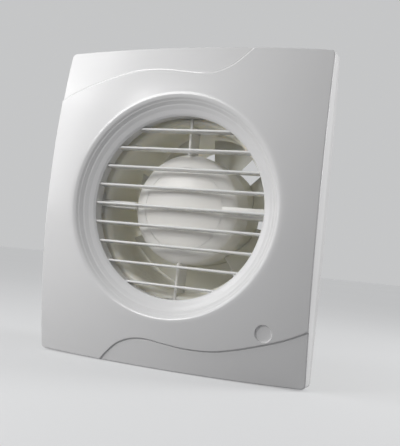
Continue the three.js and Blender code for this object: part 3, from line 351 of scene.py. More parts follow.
def baked(obj, sharp=38.0):
    """The object with its modifiers turned into a plain mesh."""
    bpy.context.view_layer.update()
    evaluated = obj.evaluated_get(bpy.context.evaluated_depsgraph_get())
    mesh = bpy.data.meshes.new_from_object(evaluated)
    obj.modifiers.clear()
    obj.data = mesh
    soften(obj, sharp)
    return obj


def combined(obj, other, operation="DIFFERENCE", sharp=38.0):
    """The object with another one cut out of it or joined to it, which is used up."""
    modifier = obj.modifiers.new("combine", "BOOLEAN")
    modifier.operation = operation
    modifier.solver = "EXACT"
    modifier.use_self = True
    modifier.object = other
    baked(obj, sharp)
    bpy.data.objects.remove(other)
    return obj


def cut(body, solids):
    """The body with the solids cut out of it."""
    return combined(body, object_of("cutter", solids), sharp=32.0)


def joined(name, objects):
    """Several objects' meshes as one object."""
    bm = bmesh.new()
    materials = []
    for obj in objects:
        shift = len(materials)
        count = len(bm.faces)
        bm.from_mesh(obj.data)
        materials += list(obj.data.materials) or [None]
        bm.faces.ensure_lookup_table()
        for face in bm.faces[count:]:
            face.material_index += shift
    result = bpy.data.objects.new(name, bpy.data.meshes.new(name))
    bm.to_mesh(result.data)
    bm.free()
    for material in materials:
        result.data.materials.append(material)
    bpy.context.scene.collection.objects.link(result)
    for obj in objects:
        bpy.data.objects.remove(obj)
    return result


def placed(obj, body, slot, material, *nodes):
    """A finished piece: one material, its body and the nodes it stands for. The slot argument is not used."""
    obj.data.materials.clear()
    obj.data.materials.append(material)
    for polygon in obj.data.polygons:
        polygon.material_index = 0
    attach(obj, body)
    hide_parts(*nodes)
    return obj


# ---- Geometry node trees --------------------------------------------------------------------------


class Nodes:
    """A node tree under construction."""

    def __init__(self, tree):
        self.tree = tree

    def node(self, kind, inputs=None, **settings):
        made = self.tree.nodes.new(kind)
        for key, value in settings.items():
            setattr(made, key, value)
        for key, value in (inputs or {}).items():
            if isinstance(value, bpy.types.NodeSocket):
                self.tree.links.new(value, made.inputs[key])
            else:
                made.inputs[key].default_value = value
        return made


class Tree(Nodes):
    """A geometry node tree under construction, with named inputs."""

    def __init__(self, name):
        self.tree = bpy.data.node_groups.new(name, "GeometryNodeTree")
        face = self.tree.interface
        face.new_socket("Geometry", in_out="OUTPUT", socket_type="NodeSocketGeometry")
        face.new_socket("Geometry", in_out="INPUT", socket_type="NodeSocketGeometry")
        self.start = self.tree.nodes.new("NodeGroupInput")
        self.end = self.tree.nodes.new("NodeGroupOutput")

    def socket(self, name, kind, default=None):
        made = self.tree.interface.new_socket(name, in_out="INPUT", socket_type="NodeSocket" + kind)
        if default is not None:
            made.default_value = default

    def maths(self, operation, a, b=None):
        inputs = {0: a} if b is None else {0: a, 1: b}
        return self.node("ShaderNodeMath", inputs, operation=operation).outputs[0]

    def row(self, count, pitch, axis):
        """Points in a row along an axis, its middle at the origin, as (points, place of the first)."""
        lift = self.maths("MULTIPLY", self.maths("SUBTRACT", count, 1.0), pitch)
        first = self.maths("MULTIPLY", lift, -0.5)
        lowest, step = [self.node("ShaderNodeCombineXYZ", {axis: value}).outputs[0] for value in (first, pitch)]
        line = self.node("GeometryNodeMeshLine", {"Count": count, "Start Location": lowest, "Offset": step})
        return line.outputs[0], first

    def finish(self, points, **inputs):
        """Sets the object's own mesh at each point as real geometry with its material, and ends the tree."""
        start = self.start.outputs
        copies = self.node("GeometryNodeInstanceOnPoints", {"Points": points, "Instance": start["Geometry"], **inputs})
        real = self.node("GeometryNodeRealizeInstances", {0: copies.outputs[0]})
        painted = self.node("GeometryNodeSetMaterial", {"Geometry": real.outputs[0], "Material": start["Material"]})
        self.tree.links.new(painted.outputs[0], self.end.inputs[0])
        return self.tree


def round_axis_tree():
    """Copies of the object's own mesh, set evenly round the duct axis."""
    tree = Tree("Set round the duct axis")
    tree.socket("Count", "Int", 3)
    tree.socket("First angle", "Float", 0.0)
    tree.socket("Material", "Material")
    start = tree.start.outputs
    line = tree.node("GeometryNodeMeshLine", {"Count": start["Count"], "Offset": (0, 0, 0)})
    index = tree.node("GeometryNodeInputIndex").outputs[0]
    step = tree.maths("DIVIDE", 2 * math.pi, start["Count"])
    angle = tree.maths("ADD", tree.maths("MULTIPLY", index, step), start["First angle"])
    turn = tree.node("ShaderNodeCombineXYZ", {"Y": tree.maths("MULTIPLY", angle, -1.0)})
    return tree.finish(line.outputs[0], Rotation=turn.outputs[0])


def slat_row_tree():
    """Copies of one slat, one above the other, each as long as the ring is wide at its height."""
    tree = Tree("Slats across the ring")
    tree.socket("Count", "Int", 9)
    tree.socket("Pitch", "Float", 0.0108)
    tree.socket("Ring radius", "Float", 0.0518)
    tree.socket("Material", "Material")
    start = tree.start.outputs
    points, _ = tree.row(start["Count"], start["Pitch"], "Z")
    place = tree.node("GeometryNodeInputPosition").outputs[0]
    height = tree.node("ShaderNodeSeparateXYZ", {0: place}).outputs["Z"]
    square = tree.maths("SUBTRACT", tree.maths("POWER", start["Ring radius"], 2.0), tree.maths("POWER", height, 2.0))
    half = tree.maths("SQRT", square)
    size = tree.node("ShaderNodeCombineXYZ", {"X": half, "Y": 1.0, "Z": 1.0})
    return tree.finish(points, Scale=size.outputs[0])


def places_tree():
    """Copies of the object's own mesh at each vertex of another one."""
    tree = Tree("Set at places")
    tree.socket("Places", "Object")
    tree.socket("Material", "Material")
    start = tree.start.outputs
    info = tree.node("GeometryNodeObjectInfo", {"Object": start["Places"]}, transform_space="ORIGINAL")
    return tree.finish(info.outputs["Geometry"])


def turns_tree():
    """Wire loops side by side along X, each a rounded rectangle of wire."""
    tree = Tree("Turns of wire")
    tree.socket("Turns", "Int", 30)
    tree.socket("Pitch", "Float", 0.0004)
    tree.socket("Crown", "Float", 0.0003)
    tree.socket("Material", "Material")
    start = tree.start.outputs
    points, first = tree.row(start["Turns"], start["Pitch"], "X")
    place = tree.node("GeometryNodeInputPosition").outputs[0]
    along = tree.node("ShaderNodeSeparateXYZ", {0: place}).outputs["X"]
    share = tree.maths("ABSOLUTE", tree.maths("DIVIDE", along, first))
    crown = tree.maths("SUBTRACT", 1.0, tree.maths("MULTIPLY", tree.maths("POWER", share, 4.0), start["Crown"]))
    size = tree.node("ShaderNodeCombineXYZ", {"X": 1.0, "Y": crown, "Z": crown})
    return tree.finish(points, Scale=size.outputs[0])


def grown(obj, tree, sharp=38.0, **inputs):
    """The object put through a geometry node tree and turned into a plain mesh."""
    modifier = obj.modifiers.new("grow", "NODES")
    modifier.node_group = tree
    for item in tree.interface.items_tree:
        key = item.name.lower().replace(" ", "_")
        if item.in_out == "INPUT" and key in inputs:
            modifier[item.identifier] = inputs[key]
    return baked(obj, sharp)


def round_axis(name, solids, count, first, material, sharp=38.0):
    tree = bpy.data.node_groups.get("Set round the duct axis") or round_axis_tree()
    return grown(
        object_of(name, solids, sharp), tree, sharp, count=count, first_angle=math.radians(first), material=material
    )


def at_places(name, solids, places, y, material, sharp=38.0):
    """Copies of a solid at (x, z) places on the level y."""
    tree = bpy.data.node_groups.get("Set at places") or places_tree()
    points = bpy.data.meshes.new("places")
    points.from_pydata([(x * MM, y * MM, z * MM) for x, z in places], [], [])
    holder = bpy.data.objects.new("places", points)
    bpy.context.scene.collection.objects.link(holder)
    made = grown(object_of(name, solids, sharp), tree, sharp, places=holder, material=material)
    bpy.data.objects.remove(holder)
    return made


# ---- Material groups ------------------------------------------------------------------------------


class Shader(Nodes):
    """A material or shader group under construction."""

    def maths(self, operation, a, b=0.0, clamp=False):
        return self.node("ShaderNodeMath", {0: a, 1: b}, operation=operation, use_clamp=clamp).outputs[0]

    def between(self, value, low, high, to_low=0.0, to_high=1.0):
        """The value's place between two limits, smoothed and sent to a new range."""
        return self.node(
            "ShaderNodeMapRange",
            {"Value": value, "From Min": low, "From Max": high, "To Min": to_low, "To Max": to_high},
            interpolation_type="SMOOTHSTEP",
        ).outputs[0]

    def noise(self, place, scale, detail=2.0, roughness=0.5):
        return self.node(
            "ShaderNodeTexNoise", {"Vector": place, "Scale": scale, "Detail": detail, "Roughness": roughness}
        ).outputs["Fac"]

    def mix(self, share, a, b):
        return self.node("ShaderNodeMix", {0: share, 6: a, 7: b}, data_type="RGBA").outputs[2]

    def finish(self, end, **values):
        """Links each value to the group's output of its name, and ends the group."""
        for key, value in values.items():
            self.tree.links.new(value, end.inputs[key])
        return self.tree


def shader_group(name, inputs, outputs):
    """An empty shader group with named sockets, as (shader, input sockets, output node)."""
    tree = bpy.data.node_groups.new(name, "ShaderNodeTree")
    for label, kind, default in inputs:
        made = tree.interface.new_socket(label, in_out="INPUT", socket_type="NodeSocket" + kind)
        made.default_value = default
    for label, kind in outputs:
        tree.interface.new_socket(label, in_out="OUTPUT", socket_type="NodeSocket" + kind)
    shader = Shader(tree)
    start, end = tree.nodes.new("NodeGroupInput"), tree.nodes.new("NodeGroupOutput")
    return shader, start.outputs, end


def moulded_skin_group():
    """Moulded plastic: broad flow clouds, fine pebble and uneven gloss."""
    shader, start, end = shader_group(
        "Moulded skin",
        [
            ("Colour", "Color", (0.8, 0.8, 0.8, 1)),
            ("Clouding", "Float", 0.03),
            ("Roughness", "Float", 0.3),
            ("Unevenness", "Float", 0.1),
            ("Pebble size", "Float", 1500.0),
        ],
        [("Colour", "Color"), ("Roughness", "Float"), ("Height", "Float")],
    )
    place = shader.node("ShaderNodeTexCoord").outputs["Object"]
    clouds = shader.noise(place, 28.0, 3.0, 0.55)
    dark = shader.node("ShaderNodeHueSaturation", {"Value": 0.9, "Saturation": 1.25, "Color": start["Colour"]})
    share = shader.maths("MULTIPLY", shader.between(clouds, 0.35, 0.75), start["Clouding"])
    tinted = shader.mix(share, start["Colour"], dark.outputs[0])
    smudge = shader.noise(place, 70.0, 4.0, 0.6)
    offset = shader.maths("MULTIPLY", shader.maths("SUBTRACT", smudge, 0.5), start["Unevenness"])
    rough = shader.maths("ADD", start["Roughness"], offset, clamp=True)
    pebble = shader.noise(place, start["Pebble size"], 2.0, 0.5)
    wave = shader.noise(place, 110.0, 1.0, 0.4)
    height = shader.maths("ADD", pebble, shader.maths("MULTIPLY", wave, 2.0))
    return shader.finish(end, Colour=tinted, Roughness=rough, Height=height)


def settled_dust_group():
    """Thin dust on what faces up, in soft patches."""
    shader, start, end = shader_group(
        "Settled dust",
        [
            ("Colour", "Color", (0.8, 0.8, 0.8, 1)),
            ("Roughness", "Float", 0.3),
            ("Amount", "Float", 0.1),
            ("Dust colour", "Color", (0.33, 0.3, 0.26, 1)),
        ],
        [("Colour", "Color"), ("Roughness", "Float")],
    )
    coords = shader.node("ShaderNodeTexCoord")
    up = shader.node("ShaderNodeSeparateXYZ", {0: coords.outputs["Normal"]}).outputs["Z"]
    patches = shader.noise(coords.outputs["Object"], 240.0, 5.0, 0.65)
    lying = shader.maths("MULTIPLY", shader.between(up, 0.25, 0.95), shader.between(patches, 0.38, 0.68))
    share = shader.maths("MULTIPLY", lying, start["Amount"])
    tinted = shader.mix(share, start["Colour"], start["Dust colour"])
    rough = shader.maths("ADD", start["Roughness"], shader.maths("MULTIPLY", share, 0.5), clamp=True)
    return shader.finish(end, Colour=tinted, Roughness=rough)


def metal_grain_group():
    """Drawn, rolled or turned metal: streaks along one axis, faint stains."""
    shader, start, end = shader_group(
        "Metal grain",
        [
            ("Colour", "Color", (0.5, 0.5, 0.5, 1)),
            ("Roughness", "Float", 0.3),
            ("Streaks", "Float", 0.15),
            ("Stains", "Float", 0.2),
            ("Stretch", "Vector", (1.0, 30.0, 1.0)),
        ],
        [("Colour", "Color"), ("Roughness", "Float"), ("Height", "Float")],
    )
    place = shader.node("ShaderNodeTexCoord").outputs["Object"]
    drawn = shader.node("ShaderNodeMapping", {"Vector": place, "Scale": start["Stretch"]}).outputs[0]
    streaks = shader.noise(drawn, 220.0, 4.0, 0.6)
    stains = shader.noise(place, 160.0, 3.0, 0.5)
    darker = shader.node("ShaderNodeHueSaturation", {"Value": 0.62, "Color": start["Colour"]})
    share = shader.maths("MULTIPLY", shader.between(stains, 0.45, 0.75), start["Stains"])
    tinted = shader.mix(share, start["Colour"], darker.outputs[0])
    offset = shader.maths("MULTIPLY", shader.maths("SUBTRACT", streaks, 0.5), start["Streaks"])
    rough = shader.maths("ADD", start["Roughness"], offset, clamp=True)
    return shader.finish(end, Colour=tinted, Roughness=rough, Height=streaks)


def group_of(name, build):
    return bpy.data.node_groups.get(name) or build()


def blank_material(name):
    """A node material with only a Principled shader and its output, as (material, shader, Principled)."""
    material = bpy.data.materials.new(name)
    material.use_nodes = True
    material.node_tree.nodes.clear()
    shader = Shader(material.node_tree)
    surface = shader.node("ShaderNodeBsdfPrincipled")
    shader.node("ShaderNodeOutputMaterial", {"Surface": surface.outputs[0]})
    return material, shader, surface


def with_alpha(values):
    return (*values, 1.0)


def moulded(name, values, roughness, unevenness=0.08, clouding=0.25, pebble=1600.0, depth=0.02, dust=0.0, **sockets):
    """A moulded plastic."""
    if name in bpy.data.materials:
        return bpy.data.materials[name]
    material, shader, surface = blank_material(name)
    look = {"Colour": with_alpha(values), "Clouding": clouding, "Roughness": roughness}
    look |= {"Unevenness": unevenness, "Pebble size": pebble}
    skin = shader.node("ShaderNodeGroup", look, node_tree=group_of("Moulded skin", moulded_skin_group))
    colour_out, rough_out = skin.outputs["Colour"], skin.outputs["Roughness"]
    if dust:
        lying = shader.node(
            "ShaderNodeGroup",
            {"Colour": colour_out, "Roughness": rough_out, "Amount": dust},
            node_tree=group_of("Settled dust", settled_dust_group),
        )
        colour_out, rough_out = lying.outputs["Colour"], lying.outputs["Roughness"]
    bump = shader.node("ShaderNodeBump", {"Strength": 0.35, "Distance": depth * MM, "Height": skin.outputs["Height"]})
    links = material.node_tree.links
    links.new(colour_out, surface.inputs["Base Color"])
    links.new(rough_out, surface.inputs["Roughness"])
    links.new(bump.outputs[0], surface.inputs["Normal"])
    for key, value in sockets.items():
        surface.inputs[key.replace("_", " ")].default_value = value
    return material


def metal(name, values, roughness, streaks=0.15, stains=0.25, stretch=(1.0, 1.0, 1.0), depth=0.01, metallic=1.0):
    """A drawn, plated or turned metal."""
    if name in bpy.data.materials:
        return bpy.data.materials[name]
    material, shader, surface = blank_material(name)
    look = {"Colour": with_alpha(values), "Roughness": roughness}
    look |= {"Streaks": streaks, "Stains": stains, "Stretch": stretch}
    grain = shader.node("ShaderNodeGroup", look, node_tree=group_of("Metal grain", metal_grain_group))
    bump = shader.node("ShaderNodeBump", {"Strength": 0.4, "Distance": depth * MM, "Height": grain.outputs["Height"]})
    links = material.node_tree.links
    links.new(grain.outputs["Colour"], surface.inputs["Base Color"])
    links.new(grain.outputs["Roughness"], surface.inputs["Roughness"])
    links.new(bump.outputs[0], surface.inputs["Normal"])
    surface.inputs["Metallic"].default_value = metallic
    return material


def colours():
    return bpy.context.scene.fan_colours


def sizes():
    """The panel's sizes, with lengths in millimetres and angles in degrees."""
    group = bpy.context.scene.fan_sizes
    values = {}
    for key in FanSizes.__annotations__:
        value, rule = getattr(group, key), group.bl_rna.properties[key]
        if rule.unit == "LENGTH":
            value = round(value / MM, 4)
        elif rule.unit == "ROTATION":
            value = round(math.degrees(value), 4)
        values[key] = value
    return SimpleNamespace(**values)


# Thin white mouldings let some light through, yellower the deeper it goes.
TRANSLUCENT = {"Subsurface_Weight": 0.8, "Subsurface_Radius": (1.0, 0.94, 0.8), "Subsurface_Scale": 0.0025}


DENSE = {"Subsurface_Weight": 0.5, "Subsurface_Radius": (1.0, 0.97, 0.92), "Subsurface_Scale": 0.0012}


def panel_gloss():
    return moulded("panel gloss", colours().panel, 0.2, 0.05, 0.12, 900.0, 0.006, 0.0, Coat_Weight=0.0, IOR=1.5)


def slat_gloss():
    return moulded("slat gloss", colours().slats, 0.24, 0.05, 0.12, 900.0, 0.006, 0.05, **DENSE)


def inner_white():
    return moulded("inner satin white", colours().inner, 0.44, 0.1, 0.3, 1800.0, 0.02, 0.12, **TRANSLUCENT)


def housing_white():
    return moulded("housing white", colours().housing, 0.34, 0.1, 0.25, 1800.0, 0.015, 0.1, **DENSE)


def impeller_white():
    return moulded("impeller white", colours().impeller, 0.42, 0.12, 0.35, 2400.0, 0.03, 0.15, **TRANSLUCENT)


def zinc():
    return metal("zinc plate", colours().zinc, 0.34, 0.2, 0.3)


def steel():
    return metal("bright steel", colours().steel, 0.22, 0.18, 0.15, (1.0, 24.0, 1.0))


def brass():
    return metal("turned brass", colours().brass, 0.28, 0.2, 0.2, (1.0, 24.0, 1.0))


def nylon():
    return moulded("natural nylon", colours().nylon, 0.42, 0.1, 0.3, 2600.0, 0.02)


# ---- Front cover ----------------------------------------------------------------------------------

# The crest line of the upper left corner field, as shares of the panel's half width and half height.
CREST = [
    (-1.025, 0.655), (-0.855, 0.728), (-0.675, 0.784), (-0.531, 0.822), (-0.375, 0.851), (-0.188, 0.857),
    (-0.025, 0.844), (0.113, 0.832), (0.225, 0.845), (0.325, 0.886), (0.406, 0.95), (0.5, 1.045),
]
SIDE_BOW = 0.7
# About half the panel's size, to turn a margin in millimetres into a share of its outline.
MEAN_REACH = 84.0
CORNER_RADIUS = 2.6
PANEL_WALL = 2.2
EDGE_ROUND = 0.75
DUCT_RADIUS = 47.5
LIP_RADIUS = 50.75
RING_RADIUS = 60.2
LIP_SETBACK = 8.1
INSERT_OUTER = 52.5
INSERT_INNER = 51.1
COLLAR_INNER = INSERT_OUTER + GAP
COLLAR_OUTER = COLLAR_INNER + 1.7
PLATE_FRONT = -2.4
MOUTH_FRONT = -4.2
RECESS = (57.7, -61.7, 4.4, 1.0)


def dome(x, z):
    """Depth of the domed face, without the corner fields' step."""
    s = sizes()
    across = 1 - (np.asarray(x) / (s.panel_width / 2)) ** 2
    up = 1 - (np.asarray(z) / (s.panel_height / 2)) ** 2
    return -(s.panel_edge + s.bulge_across * across + s.bulge_up * up)


def ring_rim():
    return float(dome(RING_RADIUS, 0) + dome(0, RING_RADIUS)) / 2


def crest_points():
    s = sizes()
    places = [(a * s.panel_width / 2, 0.0, u * s.panel_height / 2) for a, u in CREST]
    return np.array([(p.x, p.z) for p in smooth_line(places, 12)])


def side_of_crest(x, z, crest):
    """Distance beyond the crest line, positive in the corner field."""
    points = np.stack([np.ravel(x), np.ravel(z)], 1)
    start, edge = crest[:-1], np.diff(crest, axis=0)
    away = points[:, None] - start[None]
    share = np.clip((away * edge).sum(2) / (edge**2).sum(1), 0, 1)
    apart = away - share[..., None] * edge
    distance = np.hypot(apart[..., 0], apart[..., 1])
    nearest = distance.argmin(1)
    rows = np.arange(len(points))
    turn = edge[nearest, 0] * away[rows, nearest, 1] - edge[nearest, 1] * away[rows, nearest, 0]
    return np.where(turn > 0, 1, -1) * distance[rows, nearest]


def step_down(distance):
    """Drop from the band to the field: a rounded crest and a tight foot."""
    s = sizes()
    share = np.clip(distance / s.band_slope + 0.5, 0, 1)
    return s.band_step * share**1.4 * (3 - 2 * share**1.4)


def face_height(x, z, crest):
    x, z = np.asarray(x, float), np.asarray(z, float)
    beyond = np.maximum(side_of_crest(x, z, crest), side_of_crest(-x, -z, crest))
    rx, rz, radius, depth = RECESS
    inside = np.clip((radius + 0.25 - np.hypot(x - rx, z - rz)) / 0.5, 0, 1)
    return dome(x, z) + step_down(beyond) + depth * inside * inside * (3 - 2 * inside)


def outline_at(inset, stations):
    """Points of the panel's outline at an inset, for stations of (quarter, part, share)."""
    s = sizes()
    half_x, half_z = s.panel_width / 2 - inset, s.panel_height / 2 - inset
    radius = max(CORNER_RADIUS - inset, 0.6)
    corners = [(1, 1), (-1, 1), (-1, -1), (1, -1)]
    points = []
    for quarter, part, share in stations:
        sx, sz = corners[quarter]
        cx, cz = sx * (half_x - radius), sz * (half_z - radius)
        if part == "corner":
            dx, dz = on_circle(radius, 90 * (quarter + share))
            points.append((cx + dx, cz + dz))
            continue
        nx, nz = corners[(quarter + 1) % 4]
        dx, dz = on_circle(radius, 90 * (quarter + 1))
        start = (cx + dx, cz + dz)
        end = (nx * (half_x - radius) + dx, nz * (half_z - radius) + dz)
        points.append((start[0] + (end[0] - start[0]) * share, start[1] + (end[1] - start[1]) * share))
    around = np.array(points)
    x, z = around[:, 0], around[:, 1]
    bowed_x = x + SIDE_BOW * (1 - (z / half_z) ** 2) * x / half_x
    bowed_z = z + SIDE_BOW * (1 - (x / half_x) ** 2) * z / half_z
    return np.stack([bowed_x, bowed_z], 1)


def outline_stations(crest):
    """Stations round the outline, closer together where the crest lines cross it."""
    stations = []
    for quarter in range(4):
        stations += [(quarter, "corner", i / 6) for i in range(7)]
        shares = np.linspace(0, 1, 481)[1:-1]
        points = outline_at(EDGE_ROUND, [(quarter, "side", t) for t in shares])
        near = np.minimum(
            np.abs(side_of_crest(points[:, 0], points[:, 1], crest)),
            np.abs(side_of_crest(-points[:, 0], -points[:, 1], crest)),
        )
        walked = 0.0
        for i, t in enumerate(shares):
            walked += 0.35
            if walked >= (0.34 if near[i] < 1.6 else 2.4):
                stations.append((quarter, "side", float(t)))
                walked = 0.0
    return stations


def inside_loop(points, loop):
    """Which points lie inside a closed loop."""
    x, z = points[:, 0][:, None], points[:, 1][:, None]
    x0, z0 = loop[:, 0], loop[:, 1]
    x1, z1 = np.roll(x0, -1), np.roll(z0, -1)
    straddles = (z0 > z) != (z1 > z)
    with np.errstate(divide="ignore", invalid="ignore"):
        cross = x < (x1 - x0) * (z - z0) / (z1 - z0) + x0
    return (straddles & cross).sum(1) % 2 == 1


def offset_lines(crest, offsets, margin, loop):
    """Point rows beside both crest lines, kept inside the loop."""
    direction = np.gradient(crest, axis=0)
    normal = np.stack([-direction[:, 1], direction[:, 0]], 1) / np.linalg.norm(direction, axis=1)[:, None]
    length = np.concatenate([[0], np.cumsum(np.linalg.norm(np.diff(crest, axis=0), axis=1))])
    even = np.arange(0, length[-1], 0.9)
    rows = []
    for offset in offsets:
        line = crest + normal * offset
        line = np.stack([np.interp(even, length, line[:, k]) for k in (0, 1)], 1)
        rows += [line, -line]
    shrunk = loop * (1 - margin / MEAN_REACH)
    return [row[inside_loop(row, shrunk)] for row in rows]


def grid_points(spacing, loop, margin, clear):
    """Staggered grid inside the loop, where clear(x, z) says there is room."""
    reach_x, reach_z = np.abs(loop).max(0)
    rows = np.arange(-reach_z, reach_z, spacing * 0.866)
    points = []
    for i, z in enumerate(rows):
        for x in np.arange(-reach_x + (i % 2) * spacing / 2, reach_x, spacing):
            points.append((x, z))
    points = np.array(points)
    points = points[inside_loop(points, loop * (1 - margin / MEAN_REACH))]
    return points[clear(points[:, 0], points[:, 1])]


def filled(loops, others):
    """Triangles between an outer loop and an inner one, through other points.

    Gives the flat points, the triangles, and where each loop's points went.
    """
    coords = np.concatenate([*loops, *others])
    edges = []
    start = 0
    for loop in loops:
        edges += [(start + i, start + (i + 1) % len(loop)) for i in range(len(loop))]
        start += len(loop)
    flat, _, faces, origin, _, _ = delaunay_2d_cdt([Vector(c) for c in coords], edges, [], 0, 1e-5)
    points = np.array([tuple(v) for v in flat])
    went = {}
    for new, old in enumerate(origin):
        for index in old:
            went[index] = new
    middles = np.array([points[list(f)].mean(0) for f in faces])
    keep = inside_loop(middles, loops[0])
    for loop in loops[1:]:
        keep &= ~inside_loop(middles, loop)
    triangles = [tuple(f) for f, k in zip(faces, keep) if k]
    placed_loops, start = [], 0
    for loop in loops:
        placed_loops.append([went[start + i] for i in range(len(loop))])
        start += len(loop)
    return points, triangles, placed_loops


FUNNEL = [
    # radius, fall from the rim towards the duct, fillet
    (61.2, 0.3, 3.4), (59.7, 1.0, 1.6), (58.8, 2.05, 0.6), (58.3, 2.3, 0.6),
    (56.8, 4.1, 0.7), (56.1, 4.4, 0.7), (54.3, 5.8, 1.0), (51.8, 7.0, 1.6),
]
MOUTH_RADIUS = 63.4
FUNNEL_BACK = 62.2


def cover_shell():
    """The panel as one closed shell: domed face with its steps, funnel, side walls and hollow back."""
    crest = crest_points()
    stations = outline_stations(crest)
    outer = outline_at(EDGE_ROUND, stations)
    segments = 240
    angles = np.arange(segments) * 2 * np.pi / segments
    ring = np.stack([np.cos(angles), np.sin(angles)], 1)
    mouth = ring * MOUTH_RADIUS
    rows = offset_lines(crest, (-1.1, -0.7, -0.5, -0.35, -0.2, -0.05, 0.1, 0.25, 0.4, 0.6, 1.0), 0.5, outer)
    rx, rz, radius, _ = RECESS
    small = np.arange(40) * 2 * np.pi / 40
    for reach in (0.5, 2.2, radius - 0.8, radius - 0.25, radius - 0.1, radius + 0.05, radius + 0.25, radius + 0.8):
        rows.append(np.stack([rx + reach * np.cos(small), rz + reach * np.sin(small)], 1))

    def clear(x, z):
        away = np.minimum(np.abs(side_of_crest(x, z, crest)), np.abs(side_of_crest(-x, -z, crest)))
        return (away > 1.9) & (np.hypot(x, z) > MOUTH_RADIUS + 1.2) & (np.hypot(x - rx, z - rz) > radius + 1.6)

    rows.append(grid_points(2.3, outer, 1.4, clear))
    flat, triangles, (edge_loop, ring_loop) = filled([outer, mouth], rows)
    heights = face_height(flat[:, 0], flat[:, 1], crest)
    verts = [(x, y, z) for (x, z), y in zip(flat, heights)]
    faces = list(triangles)

    def strip(loop, points):
        """Joins a loop to a new row of points and gives the new loop."""
        start = len(verts)
        verts.extend(tuple(p) for p in points)
        count = len(loop)
        fresh = list(range(start, start + count))
        for i in range(count):
            j = (i + 1) % count
            faces.append((loop[i], loop[j], fresh[j], fresh[i]))
        return fresh

    # Round the edge, down the side, across the rim and up the inner wall.
    loop = edge_loop
    edge_y = heights[edge_loop]
    for angle in (18, 36, 54, 72, 90):
        inset = EDGE_ROUND * (1 - math.sin(math.radians(angle)))
        drop = EDGE_ROUND * (1 - math.cos(math.radians(angle)))
        around = outline_at(inset, stations)
        loop = strip(loop, [(x, y + drop, z) for (x, z), y in zip(around, edge_y)])
    around = outline_at(0.0, stations)
    loop = strip(loop, [(x, y * 0.5, z) for (x, z), y in zip(around, edge_y)])
    loop = strip(loop, [(x, -0.3, z) for x, z in around])
    around = outline_at(0.12, stations)
    loop = strip(loop, [(x, -0.08, z) for x, z in around])
    around = outline_at(0.35, stations)
    loop = strip(loop, [(x, 0.0, z) for x, z in around])
    inner = outline_at(PANEL_WALL, stations)
    loop = strip(loop, [(x, 0.0, z) for x, z in inner])
    lift = PANEL_WALL + sizes().band_step
    inner_y = dome(inner[:, 0], inner[:, 1]) + lift
    inner_loop = strip(loop, [(x, y, z) for (x, z), y in zip(inner, inner_y)])

    # Down the funnel, under its lip and back along its underside.
    rim = ring_rim()
    loop = ring_loop
    first = filleted([(MOUTH_RADIUS, 0.0), *FUNNEL, (LIP_RADIUS, LIP_SETBACK)], closed=False)[1:]
    face_y = heights[ring_loop]
    for radius, fall in first:
        share = min((MOUTH_RADIUS - radius) / 2, 1)
        loop = strip(
            loop,
            [(radius * c, y * (1 - share) + (rim + fall) * share, radius * s) for (c, s), y in zip(ring, face_y)],
        )
    lip = rim + LIP_SETBACK
    under = filleted(
        [
            (LIP_RADIUS, lip), (LIP_RADIUS, lip + 0.4, 0.15),
            (COLLAR_INNER, lip + 0.4, 0.15), (COLLAR_INNER, MOUTH_FRONT - GAP, 0.3),
            (COLLAR_OUTER, MOUTH_FRONT - GAP, 0.3), (COLLAR_OUTER, lip + 1.0, 0.5),
            (FUNNEL_BACK, rim + 0.42 * LIP_SETBACK, 0.6),
        ],
        closed=False,
    )
    for radius, y in under[1:]:
        loop = strip(loop, [(radius * c, y, radius * s) for c, s in ring])
    under_y = dome(ring[:, 0] * FUNNEL_BACK, ring[:, 1] * FUNNEL_BACK) + lift
    ring_inner = strip(loop, [(FUNNEL_BACK * c, y, FUNNEL_BACK * s) for (c, s), y in zip(ring, under_y)])

    # The hollow's ceiling between the inner wall and the funnel.
    back_rows = [grid_points(5.0, inner, 3.0, lambda x, z: np.hypot(x, z) > 65.0)]
    back, back_triangles, (wall_loop, hole_loop) = filled([inner, ring * FUNNEL_BACK], back_rows)
    went = dict(zip(wall_loop, inner_loop)) | dict(zip(hole_loop, ring_inner))
    back_y = dome(back[:, 0], back[:, 1]) + lift
    for i, ((x, z), y) in enumerate(zip(back, back_y)):
        if i not in went:
            went[i] = len(verts)
            verts.append((x, y, z))
    faces += [tuple(went[i] for i in f) for f in back_triangles]
    return verts, faces


PEG_PLACES = [(62, 70), (-62, 70), (-62, -70), (62, -70)]
LUG_ANGLES = (45, 135, 225, 315)
INSERT_FRONT = -13.1
INSERT_REAR = -6.5
LUG_Y = INSERT_FRONT + 0.45 * (INSERT_REAR - INSERT_FRONT)


def make_cover():
    sockets = []
    for x, z in PEG_PLACES:
        root = float(dome(x, z)) + sizes().band_step + PANEL_WALL / 2
        sockets.append(
            lathe([(0, root), (4.0, root), (4.0, -6.0, 0.3), (2.3, -6.0, 0.3), (2.3, -9.6), (0, -9.6)], 40, (x, z))
        )
    obj = object_of("front_cover_shell", [cover_shell(), *sockets], 42.0)
    for angle in LUG_ANGLES:
        window = rounded_block((COLLAR_INNER - 1, COLLAR_OUTER + 1), (LUG_Y - 1.3, LUG_Y + 1.3), (-4.3, 4.3), 0)
        obj = combined(obj, object_of("window", [spun(window, angle)]), sharp=42.0)
    obj.name = "front_cover_shell"
    return placed(obj, "cover", "gloss_white", panel_gloss(), "front_cover")


# ---- Slat grille ----------------------------------------------------------------------------------


